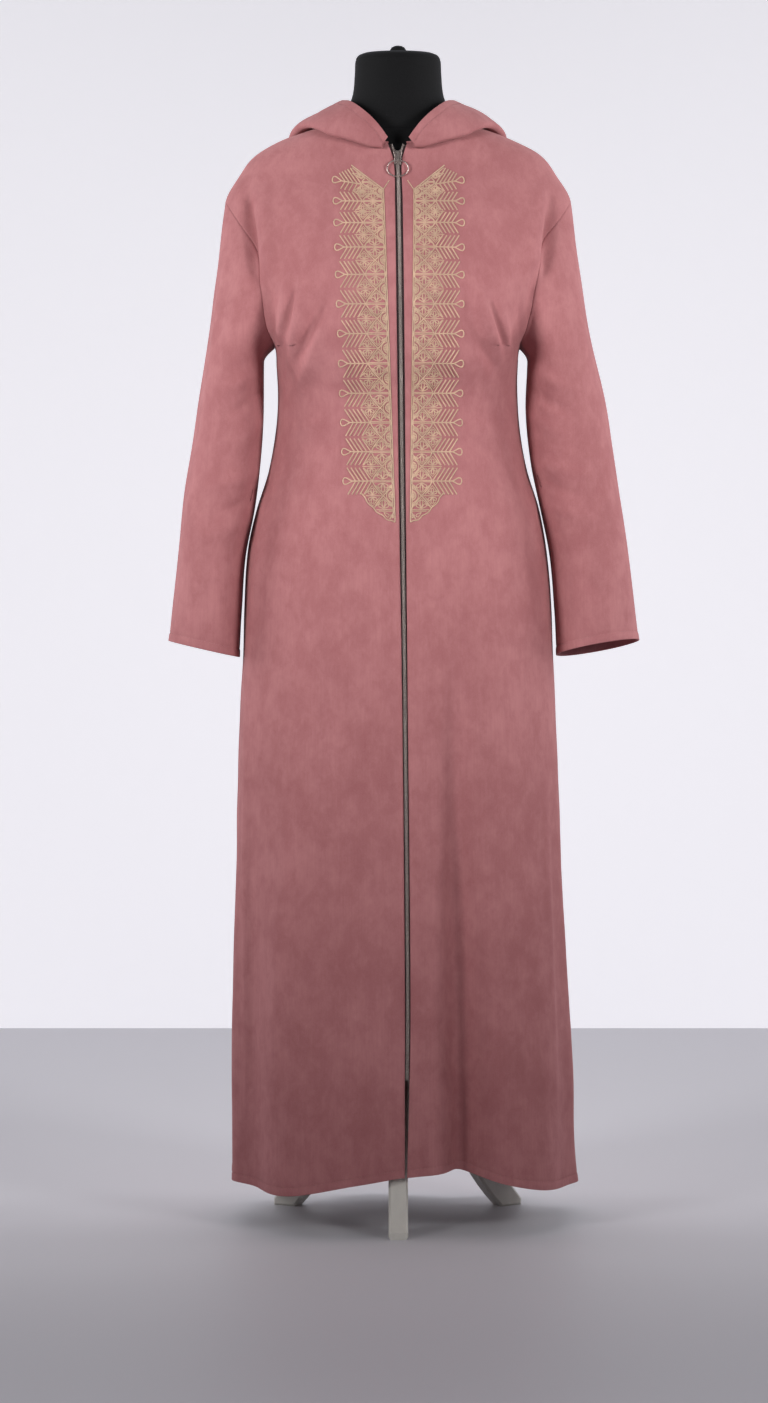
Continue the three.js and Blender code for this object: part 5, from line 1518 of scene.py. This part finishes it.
class JEBBA_OT_stage(bpy.types.Operator):
    """Sets the floor, the backdrop, the lamps and the camera"""

    bl_idname = "jebba.stage"
    bl_label = "Stage"

    def execute(self, context):
        look = context.scene.jebba_stage
        scene = context.scene
        eye = bpy.data.cameras.new("Camera")
        eye.lens, eye.sensor_width = look.lens, 36
        camera = bpy.data.objects.new("Camera", eye)
        camera.location = (-POLE_AT[0] / 1000 - 0.019, -POLE_AT[1] / 1000 - look.distance, look.eye)
        camera.rotation_euler = (math.pi / 2 - look.tilt, 0, 0)
        scene.collection.objects.link(camera)
        scene.camera = camera
        for name, corners, color, rough, turn_back in (
            ("floor", ((-ROOM, -ROOM, 0), (ROOM, -ROOM, 0), (ROOM, ROOM, 0), (-ROOM, ROOM, 0)),
             look.floor, 0.55, False),
            ("backdrop", ((-ROOM, WALL_AT, 0), (ROOM, WALL_AT, 0), (ROOM, WALL_AT, 9), (-ROOM, WALL_AT, 9)),
             look.backdrop, 0.9, True),
        ):
            mesh = bpy.data.meshes.new(name)
            mesh.from_pydata(corners, [], [(0, 1, 2, 3)])
            made = bpy.data.objects.new(name, mesh)
            scene.collection.objects.link(made)
            finish = Finish(f"Studio {name}", rough=rough)
            finish.color(tuple(color))
            if turn_back:
                finish.shader.inputs["Emission Color"].default_value = (*look.air, 1)
                finish.shader.inputs["Emission Strength"].default_value = look.glow
                see_through_behind(finish)
            mesh.materials.append(finish.material)
        studio_air(scene, tuple(look.air), look.ambient)
        for name, place, target, size, spread, energy in LAMPS:
            lamp = bpy.data.lights.new(name, "AREA")
            lamp.shape, lamp.size, lamp.size_y = "RECTANGLE", size[0], size[1]
            lamp.energy, lamp.spread = energy, spread * DEG
            made = bpy.data.objects.new(name, lamp)
            made.location = place
            made.rotation_euler = (Vector(target) - Vector(place)).to_track_quat("-Z", "Y").to_euler()
            scene.collection.objects.link(made)
        scene.view_settings.view_transform = "Standard"
        return {"FINISHED"}


def studio_air(scene, color, ambient):
    """A pale surround that lights the object only a little."""
    world = bpy.data.worlds.new("Studio")
    world.use_nodes = True
    tree = world.node_tree
    dim = tree.nodes["Background"]
    dim.inputs["Color"].default_value = (*color, 1)
    dim.inputs["Strength"].default_value = ambient
    pale = tree.nodes.new("ShaderNodeBackground")
    pale.inputs["Color"].default_value = (*color, 1)
    pale.inputs["Strength"].default_value = AIR_SEEN
    seen = tree.nodes.new("ShaderNodeLightPath").outputs["Is Camera Ray"]
    mixed = tree.nodes.new("ShaderNodeMixShader")
    tree.links.new(seen, mixed.inputs[0])
    tree.links.new(dim.outputs[0], mixed.inputs[1])
    tree.links.new(pale.outputs[0], mixed.inputs[2])
    tree.links.new(mixed.outputs[0], tree.nodes["World Output"].inputs[0])
    scene.world = world


def see_through_behind(finish):
    """Makes a stage wall clear from behind, so that it hides nothing in a view from the back."""
    tree = finish.tree
    behind = tree.nodes.new("ShaderNodeNewGeometry").outputs["Backfacing"]
    clear = tree.nodes.new("ShaderNodeBsdfTransparent").outputs[0]
    mixed = tree.nodes.new("ShaderNodeMixShader")
    tree.links.new(behind, mixed.inputs[0])
    tree.links.new(finish.shader.outputs[0], mixed.inputs[1])
    tree.links.new(clear, mixed.inputs[2])
    tree.links.new(mixed.outputs[0], tree.nodes["Material Output"].inputs[0])


OPERATORS = (JEBBA_OT_cloth, JEBBA_OT_stitches, JEBBA_OT_embroidery, JEBBA_OT_zip, JEBBA_OT_pull,
             JEBBA_OT_form, JEBBA_OT_stand, JEBBA_OT_stage)


class JEBBA_PT_sidebar(bpy.types.Panel):
    """Lists the sizes and colours, and the pieces to make"""

    bl_idname = "JEBBA_PT_sidebar"
    bl_label = "Jebba"
    bl_space_type = "VIEW_3D"
    bl_region_type = "UI"
    bl_category = "Jebba"

    def draw(self, context):
        for name, group in GROUPS.items():
            box = self.layout.box()
            box.label(text=group.__doc__.rstrip("."))
            for key in group.__annotations__:
                box.prop(getattr(context.scene, name), key)
        for operator in OPERATORS:
            self.layout.operator(operator.bl_idname)


CLASSES = (*GROUPS.values(), *OPERATORS, JEBBA_PT_sidebar)


def register():
    for cls in CLASSES:
        bpy.utils.register_class(cls)
    for name, group in GROUPS.items():
        setattr(bpy.types.Scene, name, PointerProperty(type=group))


def unregister():
    for name in GROUPS:
        delattr(bpy.types.Scene, name)
    for cls in reversed(CLASSES):
        bpy.utils.unregister_class(cls)


def main():
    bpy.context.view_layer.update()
    register()
    for operator in OPERATORS:
        getattr(bpy.ops.jebba, operator.bl_idname.split(".")[1])()


if __name__ == "__main__":
    main()
